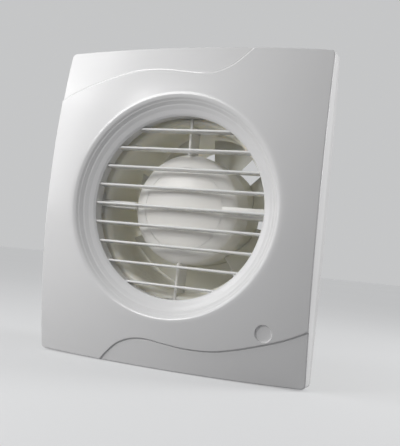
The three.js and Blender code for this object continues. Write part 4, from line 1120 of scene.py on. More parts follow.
def slat_section():
    """Slat section as (y, z): round front edge, slight taper, sloping down towards the duct."""
    front, rear, depth = 0.65, 0.5, sizes().slat_depth
    bends = [math.radians(a) for a in range(0, 181, 18)]
    points = [(front - front * math.sin(a), front * math.cos(a)) for a in bends]
    points += [(depth - 0.35, -rear), (depth - 0.1, -rear + 0.1), (depth, -rear + 0.35), (depth, rear - 0.35)]
    points += [(depth - 0.1, rear - 0.1), (depth - 0.35, rear)]
    c, s = math.cos(math.radians(sizes().slat_tilt)), math.sin(math.radians(sizes().slat_tilt))
    return [(y * c + z * s - 13.3, z * c - y * s) for y, z in points]


def make_grille():
    s = sizes()
    section = slat_section()
    count = len(section)
    unit = 1 / MM
    verts = [(side * unit, y, z) for side in (-1, 1) for y, z in section]
    faces = [(i, (i + 1) % count, count + (i + 1) % count, count + i) for i in range(count)]
    faces += [tuple(range(count)), tuple(range(count, 2 * count))]
    tree = bpy.data.node_groups.get("Slats across the ring") or slat_row_tree()
    slats = grown(
        object_of("slats", [(verts, faces)], 50.0),
        tree,
        50.0,
        count=s.slat_count,
        pitch=s.slat_pitch * MM,
        ring_radius=(INSERT_INNER + 0.7) * MM,
        material=slat_gloss(),
    )
    ring = lathe(
        [
            (INSERT_INNER, INSERT_FRONT, 0.3), (INSERT_OUTER, INSERT_FRONT, 0.3),
            (INSERT_OUTER, INSERT_REAR, 0.3), (INSERT_INNER, INSERT_REAR, 0.3),
        ],
        180,
    )
    lugs = [
        spun(rounded_block((INSERT_INNER + 0.7, INSERT_OUTER + 0.9), (LUG_Y - 1, LUG_Y + 1), (-4, 4), 0.2), angle)
        for angle in LUG_ANGLES
    ]
    grille = joined("slat_grille_insert", [slats, object_of("insert ring", [ring, *lugs])])
    return placed(grille, "cover", "gloss_white", slat_gloss(), "slat_grille")


# ---- Motor housing --------------------------------------------------------------------------------

HOUSING_RADIUS = 31.3
HOUSING_REAR = 18.0
SHOULDER_FRONT = -4.2
SHOULDER_REAR = 1.2
CROWN = 2.15
CAP_RADIUS = 23.3
CAP_SEAM = 0.13
CAP_LEDGE = -2.6
REAR_SCREW_CIRCLE = 26.4
REAR_SCREW_ANGLES = (90, 210, 330)
ARM_END = DUCT_RADIUS - GAP
ARM_WIDTHS = (6.0, 1.5, 4.0, 1.5)
FOOT_REAR = PLATE_FRONT - GAP
FOOT_PIN_CIRCLE = DUCT_RADIUS + 8 * 0.62


def crown(radius):
    """Front of the motor's dome at a radius: one full curve over the cap and the housing's shoulder."""
    rise = SHOULDER_REAR - SHOULDER_FRONT + sizes().cap_dome
    return SHOULDER_REAR - rise * (1 - min(radius / HOUSING_RADIUS, 1.0) ** CROWN) ** (1 / CROWN)


def shoulder(inner, outer, rise, start, steps):
    return [
        (inner + (outer - inner) * math.cos(math.radians(a)), start - rise * math.sin(math.radians(a)))
        for a in np.linspace(90, 0, steps)
    ]


def make_housing():
    hole = CAP_RADIUS + GAP
    reach = math.sqrt(1 - (hole / HOUSING_RADIUS) ** 2)
    radii = [HOUSING_RADIUS * math.sqrt(1 - (reach * (1 - t)) ** 2) for t in np.linspace(0, 1, 18)]
    cup = [(0, crown(hole)), *((r, crown(r)) for r in radii), (HOUSING_RADIUS, HOUSING_REAR, 0.3), (0, HOUSING_REAR)]
    arms = []
    fronts = (-5.0, -4.0, -4.0, -4.0)
    for i, (width, front) in enumerate(zip(ARM_WIDTHS, fronts)):
        edge = 0.45 if width < 2 else 0.35
        start = hole - 2 if i == 0 else HOUSING_RADIUS - 0.8
        arms.append(spun(rounded_block((start, ARM_END), (front, 8), (-width / 2, width / 2), edge, 3), 90 * i))
        foot = (FOOT_REAR - 1.5, FOOT_REAR)
        neck = rounded_block((ARM_END - 2, LIP_RADIUS + 1.4), foot, (-width / 2, width / 2), 0.15)
        tab = rounded_block((LIP_RADIUS + 0.4, DUCT_RADIUS + 7.6), foot, (-6, 6), 0.25)
        arms += [spun(neck, 90 * i), spun(tab, 90 * i)]
        for side in (-1, 1):
            arms.append(spun(rod(FOOT_PIN_CIRCLE, side * 4, 1.2, FOOT_REAR - 0.2, -GAP, 0.25, 24), 90 * i))
    body = combined(object_of("cup", [lathe(cup, 144)]), object_of("arms", arms), "UNION")
    inside = lathe(
        [
            (0, SHOULDER_FRONT - 1), (hole, SHOULDER_FRONT - 1), (hole, CAP_LEDGE), (21.5, CAP_LEDGE), (21.5, -1.8),
            *shoulder(23.5, HOUSING_RADIUS - 1.9, 3.8, 2.0, 7),
            (HOUSING_RADIUS - 1.9, HOUSING_REAR + 1), (0, HOUSING_REAR + 1),
        ],
        144,
    )
    hollows = [
        rounded_block((HOUSING_RADIUS + 1.2, ARM_END - 1.2), (-0.9, 9), (-1.8, 1.8), 0.2),
        spun(rounded_block((HOUSING_RADIUS + 1.2, ARM_END - 1.2), (-2.8, 9), (-0.8, 0.8), 0.2), 180),
    ]
    groove = 1.8
    channel = [
        rounded_block((hole + 1.6, DUCT_RADIUS + 8.6), (-6, -2.4), (-groove, groove), 0.2),
        rounded_block((hole + 1.6, hole + 5.2), (-3.4, 4), (-groove, groove), 0.2),
    ]
    body = cut(body, [inside])
    body = cut(body, hollows)
    for solid in channel:
        body = cut(body, [solid])
    bosses = []
    for angle in REAR_SCREW_ANGLES:
        x, z = on_circle(REAR_SCREW_CIRCLE, angle)
        bosses.append(lathe([(1.3, 4.1), (2.8, 4.1, 0.2), (2.8, 16.0, 0.2), (1.3, 16.0)], 32, (x, z)))
        bosses.append(spun(rounded_block((28.4, 30.3), (4.1, 16.0), (-1.4, 1.4), 0.2), angle))
    body = joined("motor_housing_cup", [body, object_of("bosses", bosses)])
    return placed(body, "base", "inner_white", housing_white(), "motor_housing")


def make_cap():
    outer = CAP_RADIUS + GAP - CAP_SEAM
    face = [(outer * t, crown(outer * t)) for t in np.linspace(0, 0.985, 18)]
    edge = SHOULDER_FRONT + 1.3
    cap = lathe(
        [
            *face, (outer, crown(outer) + 0.05), (outer, edge, 0.2), (21.2, edge), (21.2, -1.5, 0.2),
            (19.7, -1.5, 0.2), (19.7, edge), (18.2, edge), (18.2, -3.8), (0, -3.8),
        ],
        144,
    )
    return placed(object_of("motor_cap_disc", [cap]), "base", "inner_white", housing_white(), "motor_cap")


def make_channel_lid():
    rear = -5.0 - GAP
    lid = rounded_block((CAP_RADIUS + GAP + 0.8, LIP_RADIUS - 0.2), (rear - 1, rear), (-2.8, 2.8), 0.3, 3)
    tongue = rounded_block((35.2, 43.2), (rear - 0.2, rear + 1), (-1.5, 1.5), 0.15)
    strip = object_of("lead_channel_strip", [lid, tongue])
    return placed(strip, "base", "inner_white", housing_white(), "lead_channel_lid")


def taken(obj):
    """The object's vertices and faces in millimetres. The object itself is removed."""
    verts = [tuple(v.co / MM) for v in obj.data.vertices]
    faces = [tuple(p.vertices) for p in obj.data.polygons]
    bpy.data.objects.remove(obj)
    return verts, faces


def cross_head_screw(radius, head, height, length, dome_rise=0.25):
    """Cross-recessed screw along Y whose head's underside is at y = 0 and whose shank runs towards +Y."""
    pitch = 0.5
    shank = [(0, length), (radius * 0.45, length, 0.1)]
    y = length - 0.8
    while y > 1.2:
        shank += [(radius, y + pitch * 0.25), (radius, y)]
        shank += [(radius * 0.82, y - pitch * 0.3), (radius * 0.82, y - pitch * 0.45)]
        y -= pitch * 1.25
    shank += [(radius, 0.6), (radius, 0), (head, 0, 0.12), (head, -height + dome_rise, 0.25)]
    shank += [(head * 0.6, -height, 0.8), (0, -height)]
    body = object_of("screw", [lathe(shank, 40)])
    arm = head * 0.52
    for angle in (45, 135):
        slot = rounded_block((-arm, arm), (-height - 1, -height * 0.35), (-0.27, 0.27), 0.08)
        body = cut(body, [spun(slot, angle)])
    return taken(body)


def make_rear_cover():
    front = HOUSING_REAR - 1.7
    plate = object_of(
        "plate",
        [
            lathe(
                [
                    (5.5, front, 0.2), (29.1, front, 0.2), (29.1, HOUSING_REAR, 0.3),
                    (24.5, HOUSING_REAR, 0.3), (24.1, HOUSING_REAR - 0.4, 0.3),
                    (8.6, HOUSING_REAR - 0.4, 0.3), (8.2, HOUSING_REAR, 0.3), (5.5, HOUSING_REAR, 0.3),
                ],
                128,
            )
        ],
    )
    seats = []
    for angle in REAR_SCREW_ANGLES:
        x, z = on_circle(REAR_SCREW_CIRCLE, angle)
        seat = [
            (0, front - 1), (1.3, front - 1), (1.3, HOUSING_REAR - 1.1),
            (2.4, HOUSING_REAR - 1.1), (2.4, HOUSING_REAR + 1), (0, HOUSING_REAR + 1),
        ]
        seats.append(lathe(seat, 32, (x, z)))
    seats += [rod(x, 0, 1.7, front - 1, front + 1.2, 0.1) for x in (-14.5, 14.5)]
    plate = cut(plate, seats)
    plate.name = "motor_rear_plate"
    return placed(plate, "base", "soft_white", impeller_white(), "motor_rear_cover")


def make_rear_screws():
    verts, faces = cross_head_screw(1.0, 2.1, 0.8, 8.0, 0.2)
    flipped = [(x, HOUSING_REAR - 0.8 - y, z) for x, y, z in verts], faces
    unit = shifted(flipped, dx=REAR_SCREW_CIRCLE)
    screws = round_axis("motor_rear_plate_screws", [unit], 3, 90.0, zinc())
    nodes = [f"rear_cover_screw_{i}" for i in range(1, 4)]
    return placed(screws, "base", "zinc_plate", zinc(), *nodes)


# ---- Impeller -------------------------------------------------------------------------------------

HUB_FRONT = HOUSING_REAR + 1.6
HUB_REAR = HUB_FRONT + 20.4
HUB_RADIUS = 30.5
SHAFT_HOLE = 1.9


def blade_solid():
    """One twisted blade, its sections on cylinders round the axis, at angle 0."""
    s = sizes()
    rows, columns = 14, 22
    root, tip = HUB_RADIUS - 0.8, DUCT_RADIUS - 1.3
    verts = []
    for row in range(rows + 1):
        share = row / rows
        radius = root + (tip - root) * share
        length = 18.4 + (14.5 - 18.4) * share
        start = HUB_FRONT + 1.0 + (2.2 - 1.0) * share
        arc = math.radians(s.blade_span) * radius
        slope = math.atan2(length, arc)
        thin = 1.0 if share < 0.93 else 1.0 - 0.55 * ((share - 0.93) / 0.07) ** 2
        rims = {1: [], -1: []}
        for column in range(columns + 1):
            chord = 0.5 - 0.5 * math.cos(math.pi * column / columns)
            camber = s.blade_camber * 4 * chord * (1 - chord)
            half = thin * 1.7 * (0.22 + 1.15 * math.sqrt(chord) * (1 - chord)) / 2
            if column in (0, columns):
                half *= 0.35
            for side in (1, -1):
                off = camber + side * half
                along = arc * chord - arc / 2 - off * math.sin(slope)
                y = start + length * chord + off * math.cos(slope)
                angle = along / radius
                rims[side].append((radius * math.cos(angle), y, radius * math.sin(angle)))
        verts += rims[1] + rims[-1][::-1]
    count = 2 * (columns + 1)
    faces = ring_faces(rows + 1, count)
    for base in (0, rows * count):
        for i in range(columns):
            faces.append((base + i, base + i + 1, base + count - 2 - i, base + count - 1 - i))
    return verts, faces


def make_impeller():
    s = sizes()
    boss_rear = HUB_FRONT + 18.9
    hub = lathe(
        [
            (SHAFT_HOLE, HUB_FRONT), (HUB_RADIUS, HUB_FRONT, 2.0),
            (HUB_RADIUS, HUB_REAR, 0.35), (HUB_RADIUS - 1.6, HUB_REAR, 0.35),
            (HUB_RADIUS - 1.6, HUB_FRONT + 1.6, 1.2), (4.6, HUB_FRONT + 1.6, 0.8),
            (4.4, boss_rear, 0.3), (SHAFT_HOLE, boss_rear, 0.2),
        ],
        144,
    )
    rib = rounded_block((4.0, HUB_RADIUS - 0.8), (HUB_FRONT + 0.8, HUB_FRONT + 13.6), (-0.6, 0.6), 0.25)
    blades = round_axis("blades", [blade_solid()], s.blade_count, s.blade_first, impeller_white(), 50.0)
    ribs = round_axis("ribs", [rib], s.blade_count, s.blade_first, impeller_white())
    wheel = joined("impeller_wheel", [object_of("hub", [hub]), blades, ribs])
    return placed(wheel, "rotor", "soft_white", impeller_white(), "impeller")


def make_shaft_end():
    washer = lathe([(1.9, 38.8, 0.1), (4.2, 38.8, 0.2), (4.2, 39.6, 0.2), (1.9, 39.6, 0.1)], 64)
    placed(object_of("washer_disc", [washer]), "rotor", "steel", steel(), "impeller_washer")
    shaft = [(0, -2.0), (1.6, -2.0, 0.4), (1.6, 34.0)]
    y = 34.4
    while y < 43.2:
        shaft += [(1.6, y), (1.38, y + 0.22), (1.6, y + 0.44)]
        y += 0.5
    shaft += [(1.6, 43.5), (1.2, 44.0), (0, 44.0)]
    placed(object_of("motor_shaft", [lathe(shaft, 48)], 50.0), "rotor", "steel", steel(), "rotor_shaft")
    radius = 7 / math.sqrt(3)
    corners = [on_circle(radius, 60 * k + 1e-3) for k in range(6)]
    nut = object_of("nut", [outline_solid(corners, 39.9, 43.3, 0.15)], 30.0)
    chamfer = lathe([(0, 39.8), (3.6, 39.8), (4.3, 40.3), (4.3, 42.9), (3.6, 43.4), (0, 43.4)], 64)
    nut = combined(nut, object_of("chamfer", [chamfer]), "INTERSECT", 30.0)
    nut = combined(nut, object_of("bore", [rod(0, 0, 1.9, 39, 44.5, 0.0)]), sharp=30.0)
    nut.name = "nut_hex"
    placed(nut, "rotor", "brass", brass(), "impeller_nut")


# ---- Base frame -----------------------------------------------------------------------------------

PLATE = (148.0, 164.0, 8.0)
SPIGOT_RADIUS = 49.3
SPIGOT_END = 78.0
CLAMP_PLACES = [(38, 65.5), (38, 74.5)]
GROMMET = (24.0, 70.5)
BLOCK = (54.0, 58.0)


def make_base():
    width, height, corner = PLATE
    outline = rounded_rectangle(width, height, corner)
    well = rounded_rectangle(width - 3.2, height - 3.2, corner - 1.6)
    plate = object_of("plate", [outline_solid(outline, PLATE_FRONT - 5, 0, 0.4)])
    plate = combined(plate, object_of("well", [outline_solid(well, PLATE_FRONT - 6, PLATE_FRONT)]))
    fittings = []
    for angle in (112.5, 157.5, 202.5, 247.5, 292.5, 337.5):
        c, s = on_circle(1, angle)
        reach = min((width / 2 - 0.8) / abs(c), (height / 2 - 0.8) / abs(s)) - 0.3
        rib = rounded_block((54.5, reach), (PLATE_FRONT - 3.6, PLATE_FRONT + 0.5), (-0.7, 0.7), 0.25)
        fittings.append(spun(rib, angle))
    peg_end, boss_end = PLATE_FRONT - 6.6, PLATE_FRONT - 3.4
    for place in PEG_PLACES:
        fittings.append(lathe([(0, -0.5), (2.0, -0.5), (2.0, peg_end, 0.6), (0, peg_end)], 32, place))
    for place in CLAMP_PLACES:
        fittings.append(lathe([(0, -0.5), (2.4, -0.5), (2.4, boss_end, 0.3), (0, boss_end)], 32, place))
    drum = lathe(
        [
            (0, MOUTH_FRONT), (DUCT_RADIUS + 8, MOUTH_FRONT, 0.4), (DUCT_RADIUS + 8, -0.5), (SPIGOT_RADIUS, -0.5),
            (SPIGOT_RADIUS, SPIGOT_END - 3, 0.5), (SPIGOT_RADIUS - 0.6, SPIGOT_END, 0.3), (0, SPIGOT_END),
        ],
        180,
    )
    plate = combined(plate, object_of("fittings", fittings), "UNION")
    plate = combined(plate, object_of("drum", [drum]), "UNION")
    bell = [
        (DUCT_RADIUS + 2.7 * (1 - math.sin(math.radians(a))), MOUTH_FRONT + 5.7 * (1 - math.cos(math.radians(a))))
        for a in np.linspace(0, 90, 9)
    ]
    before, behind = MOUTH_FRONT - 1, SPIGOT_END + 1
    bore = lathe([(0, before), (DUCT_RADIUS + 2.7, before), *bell, (DUCT_RADIUS, behind), (0, behind)], 180)
    plate = cut(plate, [bore])
    pockets = []
    for i, arm in enumerate(ARM_WIDTHS):
        half = arm / 2 + GAP
        neck = rounded_block((DUCT_RADIUS - 1, LIP_RADIUS + 0.6), (before, PLATE_FRONT), (-half, half), 0)
        foot = rounded_block((LIP_RADIUS + 0.1, DUCT_RADIUS + 9), (before, PLATE_FRONT), (-6 - GAP, 6 + GAP), 0)
        pockets += [spun(neck, 90 * i), spun(foot, 90 * i)]
    for pocket in pockets:
        plate = cut(plate, [pocket])
    holes = []
    for i in range(4):
        for side in (-1, 1):
            holes.append(spun(rod(FOOT_PIN_CIRCLE, side * 4, 1.5, -9, 1, 0, 24), 90 * i))
    for x in (-66, 66):
        for z in (-38, 38):
            slot = []
            for a in np.linspace(0, 2 * np.pi, 33)[:-1]:
                end = 2.6 if math.sin(a) >= 0 else -2.6
                slot.append((x + 2.4 * math.cos(a), z + end + 2.4 * math.sin(a)))
            holes.append(outline_solid(slot, -4, 1))
    holes.append(rod(*GROMMET, 5.5, -4, 1, 0, 40))
    holes += [rod(x, z, 1.5, -7, 1, 0, 24) for x, z in CLAMP_PLACES]
    holes.append(rod(*BLOCK, 1.5, -4, 1, 0, 24))
    plate = cut(plate, holes)
    plate.name = "base_plate_and_spigot"
    return placed(plate, "base", "inner_white", inner_white(), "base_frame")


# ---- Terminal block, cable entry and leads --------------------------------------------------------


def make_terminals():
    x0, z0 = BLOCK
    base = FOOT_REAR
    front = base - 9.4
    centre = base - 1.3 - 0.3 - 2.5
    block = object_of("block", [rounded_block((x0 - 8, x0 + 8), (front, base), (z0 - 6, z0 + 6), 0.5, 3)])
    cutters = [rod(x0, z0, 1.5, base - 4, 0, 0, 24)]
    cutters.append(rounded_block((x0 - 1.2, x0 + 1.2), (front - 1, base - 2.6), (z0 - 2.5, z0 + 2.5), 0))
    for x in (x0 - 4, x0 + 4):
        cutters.append(rounded_block((x - 2.8, x + 2.8), (centre - 2.8, centre + 2.8), (z0 - 9, z0 + 9), 0.4))
        for side in (-3, 3):
            cutters.append(rod(x, z0 + side, 1.9, front - 1, centre, 0, 32))
    for cutter in cutters:
        block = cut(block, [cutter])
    block.name = "terminal_block_moulding"
    grey = moulded("terminal grey", colours().block, 0.45, 0.1, 0.3, 2200.0, 0.02)
    placed(block, "base", "pale_grey", grey, "terminal_block")
    clamps = []
    for x in (x0 - 4, x0 + 4):
        body = rounded_block((x - 2.5, x + 2.5), (centre - 2.5, centre + 2.5), (z0 - 5.4, z0 + 5.4), 0.35)
        clamp = object_of("clamp", [body])
        bore = rod(0, 0, 1.5, -7, 7, 0, 32)
        lying = [(x + px, centre + pz, z0 + py) for px, py, pz in bore[0]], bore[1]
        clamp = cut(clamp, [lying])
        for side in (-3, 3):
            hole = rod(x, z0 + side, 1.25, centre - 4, centre, 0, 24)
            clamp = cut(clamp, [hole])
        clamps.append(clamp)
    placed(joined("terminal_clamps", clamps), "base", "brass", brass(), "terminal_clamp_1", "terminal_clamp_2")
    top = centre - 2.5
    screw = lathe(
        [
            (0, top + 1.35), (0.95, top + 1.35, 0.1), (0.95, top - 0.3),
            (1.6, top - 0.3, 0.1), (1.6, top - 1.5, 0.2), (0, top - 1.5),
        ],
        32,
    )
    slot = rounded_block((-2, 2), (top - 2, top - 1.0), (-0.22, 0.22), 0)
    slotted = combined(object_of("screw", [screw]), object_of("slot", [slot]))
    solid = taken(slotted)
    places = [(x0 + dx, z0 + dz) for dx in (-4, 4) for dz in (-3, 3)]
    screws = at_places("terminal_screws", [solid], places, 0.0, steel())
    placed(screws, "base", "steel", steel(), *[f"terminal_screw_{i}" for i in range(1, 5)])
    head = base - 2.6
    fixing = [
        rod(x0, z0, 1.2, head - 0.1, -GAP, 0.15),
        rounded_block((x0 - 0.9, x0 + 0.9), (head - 1.2, head), (z0 - 2.2, z0 + 2.2), 0.2),
    ]
    placed(object_of("terminal_block_screw", fixing), "base", "steel", steel(), "terminal_fixing_screw")


def make_cable_entry():
    front = PLATE_FRONT - GAP
    grommet = lathe(
        [
            (3.2, front - 1.4, 0.4), (7.1, front - 1.4, 0.7), (7.1, front, 0.2), (5.2, front),
            (5.2, -0.1, 0.2), (4.3, -0.1), (4.0, -0.6), (3.7, -0.1),
            (3.2, -0.1, 0.2), (3.2, -1.4), (3.4, -1.9), (3.2, -2.4),
        ],
        64,
        GROMMET,
    )
    rubber = moulded("black rubber", colours().rubber, 0.6, 0.15, 0.4, 3000.0, 0.03)
    placed(object_of("grommet_ring", [grommet]), "base", "rubber", rubber, "cable_grommet")
    rear = PLATE_FRONT - 3.4 - GAP
    strap_outline = [(38 + x, 70 + z) for x, z in rounded_rectangle(5, 14, 2.4)]
    strap = object_of("strap", [outline_solid(strap_outline, rear - 2, rear, 0.4)])
    holes = [rod(x, z, 1.5, rear - 3, rear + 1, 0, 24) for x, z in CLAMP_PLACES]
    strap = cut(strap, holes)
    teeth = [
        rounded_block((37.4 + dx, 38.0 + dx), (rear - 0.2, rear + 0.7), (68.2, 71.8), 0.15)
        for dx in (-0.9, 0.3, 1.5)
    ]
    strap = joined("cable_clamp_strap", [strap, object_of("teeth", teeth)])
    placed(strap, "base", "nylon", nylon(), "cable_clamp")
    head = PLATE_FRONT - 3.4 - 2 - 2 * GAP
    screw = shifted(cross_head_screw(1.2, 2.2, 1.4, PLATE_FRONT + 1.4 - head, 0.5), dy=head)
    screws = at_places("cable_clamp_screws", [screw], CLAMP_PLACES, 0.0, steel())
    placed(screws, "base", "steel", steel(), "cable_clamp_screw_1", "cable_clamp_screw_2")


def lead_route(side):
    """The route of one motor lead from the coil to its terminal."""
    off = side * 0.85
    mouth = DUCT_RADIUS + 8
    bend = mouth + 3.6 - off
    pole = BLOCK[0] + (-4 if side > 0 else 4)
    inside = 2.6 - 3.2
    pin = -16.2 - 1.6 + side * 1.7
    hole = CAP_RADIUS + GAP + 1.6
    arc_x, arc_z = on_circle(bend + 3.6 - off / 2, 22)
    high_x, high_z = on_circle(bend + 6 - off, 36)
    level = -3.35
    clamp = FOOT_REAR - 4.1
    end = BLOCK[1] - 6
    return [
        (9.15, inside, pin), (12.5 - off, inside, pin), (hole - 6 - off, inside + 0.2, -12 + off),
        (hole - 4 - off, inside + 0.8, -6 + off), (hole + 0.2, inside + 1.2, off - 0.6),
        (hole + 1.4, inside - 0.6, off),
        (hole + 3.6, level, off), (hole + 5, level, off), (ARM_END, level, off), (mouth - 1.4, level, off),
        (mouth + 0.8, level, off), (bend, level, 6 + off), (arc_x, level, arc_z), (high_x, level - 1, high_z),
        (pole, clamp + 0.8, end - 5), (pole, clamp, end - 1), (pole, clamp, end + 3),
    ]


def make_leads():
    leads = ((1, "live", colours().brown, "brown_lead"), (-1, "neutral", colours().blue, "blue_lead"))
    for side, name, values, slot in leads:
        finish = moulded(f"{name} insulation", values, 0.38, 0.1, 0.2, 2600.0, 0.01)
        lead = object_of(f"{name}_lead_wire", [tube(lead_route(side), 0.65)])
        placed(lead, "base", slot, finish, f"motor_lead_{name}")


# ---- Motor ----------------------------------------------------------------------------------------


def make_motor():
    """Materials for the motor's own nodes, and the turns of its coil."""
    core, shader, surface = blank_material("stacked laminations")
    place = shader.node("ShaderNodeTexCoord").outputs["Object"]
    depth = shader.node("ShaderNodeSeparateXYZ", {0: place}).outputs["Y"]
    sheets = shader.maths("PINGPONG", depth, 0.00025)
    seam = shader.between(sheets, 0.0, 0.00006)
    stains = shader.noise(place, 300.0, 4.0, 0.6)
    c = colours().core
    dull = shader.mix(shader.between(stains, 0.4, 0.7), with_alpha(c), (c[0] * 0.7, c[1] * 0.66, c[2] * 0.62, 1))
    tone = shader.mix(seam, (c[0] * 0.25, c[1] * 0.25, c[2] * 0.25, 1), dull)
    bump = shader.node("ShaderNodeBump", {"Strength": 0.5, "Distance": 0.00004, "Height": seam})
    core.node_tree.links.new(tone, surface.inputs["Base Color"])
    core.node_tree.links.new(bump.outputs[0], surface.inputs["Normal"])
    surface.inputs["Metallic"].default_value = 0.85
    surface.inputs["Roughness"].default_value = 0.42
    finishes = {
        "stator_core": core,
        "rotor_core": core,
        "shading_ring_1": metal("bare copper", colours().copper, 0.3, 0.2, 0.4),
        "shading_ring_2": metal("bare copper", colours().copper, 0.3, 0.2, 0.4),
        "coil_bobbin": nylon(),
        "front_thrust_washer": nylon(),
        "rear_thrust_washer": nylon(),
        "front_bearing_bracket": zinc(),
        "rear_bearing_bracket": zinc(),
        "front_bearing": metal("sintered bronze", colours().bronze, 0.45, 0.2, 0.5, (1.0, 1.0, 1.0), 0.02),
        "rear_bearing": metal("sintered bronze", colours().bronze, 0.45, 0.2, 0.5, (1.0, 1.0, 1.0), 0.02),
        "motor_bolt_1": steel(),
        "motor_bolt_2": steel(),
    }
    for node, finish in finishes.items():
        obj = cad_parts[node]
        obj.data.materials.clear()
        obj.data.materials.append(finish)
    low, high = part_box("coil_winding")
    middle = (low + high) / 2 / MM
    size = (high - low) / MM
    wire = 0.2
    loop = rounded_rectangle(size.y - 2 * wire - 0.02, size.z - 2 * wire - 0.02, 0.8, 3)
    verts, faces = [], []
    sides = 6
    for (y, z), (ny, nz) in zip(loop, offset_outline(loop, -1.0)):
        out = Vector((ny - y, nz - z)).normalized()
        for k in range(sides):
            c, s = on_circle(wire, 360 * k / sides)
            verts.append((s, y + out.x * c, z + out.y * c))
    count = len(loop)
    for i in range(count):
        j = (i + 1) % count
        for k in range(sides):
            m = (k + 1) % sides
            faces.append((i * sides + k, j * sides + k, j * sides + m, i * sides + m))
    enamel = metal("enamelled wire", colours().enamel, 0.25, 0.1, 0.2, metallic=0.6)
    tree = bpy.data.node_groups.get("Turns of wire") or turns_tree()
    pitch = sizes().coil_pitch
    turns = int((size.x - 2 * wire) / pitch) + 1
    coil = grown(
        object_of("coil", [(verts, faces)]), tree, turns=turns, pitch=pitch * MM, crown=0.05, material=enamel
    )
    inner_y, inner_z = size.y / 2 - 2 * wire, size.z / 2 - 2 * wire
    half = size.x / 2
    flanks = [
        ((-inner_y, inner_y), (inner_z - 1.2, inner_z - 0.1)), ((-inner_y, inner_y), (0.1 - inner_z, 1.2 - inner_z)),
        ((inner_y - 1.2, inner_y - 0.1), (-inner_z, inner_z)), ((0.1 - inner_y, 1.2 - inner_y), (-inner_z, inner_z)),
    ]
    layer = [rounded_block((-half, half), ys, zs, 0.1) for ys, zs in flanks]
    wound = joined("coil_turns", [coil, object_of("layers", layer)])
    wound.data.transform(Matrix.Translation(middle * MM))
    placed(wound, "base", "enamelled_wire", enamel, "coil_winding")


# ---- Stage ----------------------------------------------------------------------------------------

# The picture's camera: degrees, focal length in pixels, and millimetres from the origin.
CAMERA = {
    "azimuth": 22.84, "elevation": -2.462, "roll": 5.666, "focal": 739.3, "away": 419.2, "right": 8.534, "up": -6.707,
}
FRAME_SIZE = (400, 446)


def make_camera():
    a, e, r = (math.radians(CAMERA[k]) for k in ("azimuth", "elevation", "roll"))
    back = Vector((math.sin(a) * math.cos(e), -math.cos(a) * math.cos(e), math.sin(e)))
    right = Vector((math.cos(a), math.sin(a), 0))
    up = back.cross(right)
    tilted_right = math.cos(r) * right + math.sin(r) * up
    tilted_up = -math.sin(r) * right + math.cos(r) * up
    data = bpy.data.cameras.new("camera")
    data.sensor_width = 36.0
    data.lens = CAMERA["focal"] * 36.0 / max(FRAME_SIZE)
    data.clip_start, data.clip_end = 0.01, 50.0
    camera = bpy.data.objects.new("camera", data)
    place = back * CAMERA["away"] + right * CAMERA["right"] + up * CAMERA["up"]
    turn = Matrix((tilted_right, tilted_up, back)).transposed()
    camera.matrix_world = Matrix.Translation(place * MM) @ turn.to_4x4()
    bpy.context.scene.collection.objects.link(camera)
    bpy.context.scene.camera = camera


def soft_light(name, place, target, size, power, tint=(1, 1, 1)):
    data = bpy.data.lights.new(name, "AREA")
    data.shape = "RECTANGLE"
    data.size, data.size_y = size[0] * MM, size[1] * MM
    data.energy = power
    data.color = tint
    lamp = bpy.data.objects.new(name, data)
    here, there = Vector(place) * MM, Vector(target) * MM
    lamp.location = here
    lamp.rotation_euler = (there - here).to_track_quat("-Z", "Y").to_euler()
    bpy.context.scene.collection.objects.link(lamp)


def background_ray(shader):
    """1 for the rays that show the background: those of the camera, of metal and of glass."""
    rays = shader.node("ShaderNodeLightPath").outputs
    shown = shader.maths("ADD", rays["Is Camera Ray"], rays["Is Glossy Ray"], clamp=True)
    return shader.maths("ADD", shown, rays["Is Transmission Ray"], clamp=True)


# The floor's grey for light that bounces, and how much brighter than its tone the camera sees it.
FLOOR_SHADE = (0.16, 0.16, 0.165, 1)
FLOOR_LIFT = 1.25


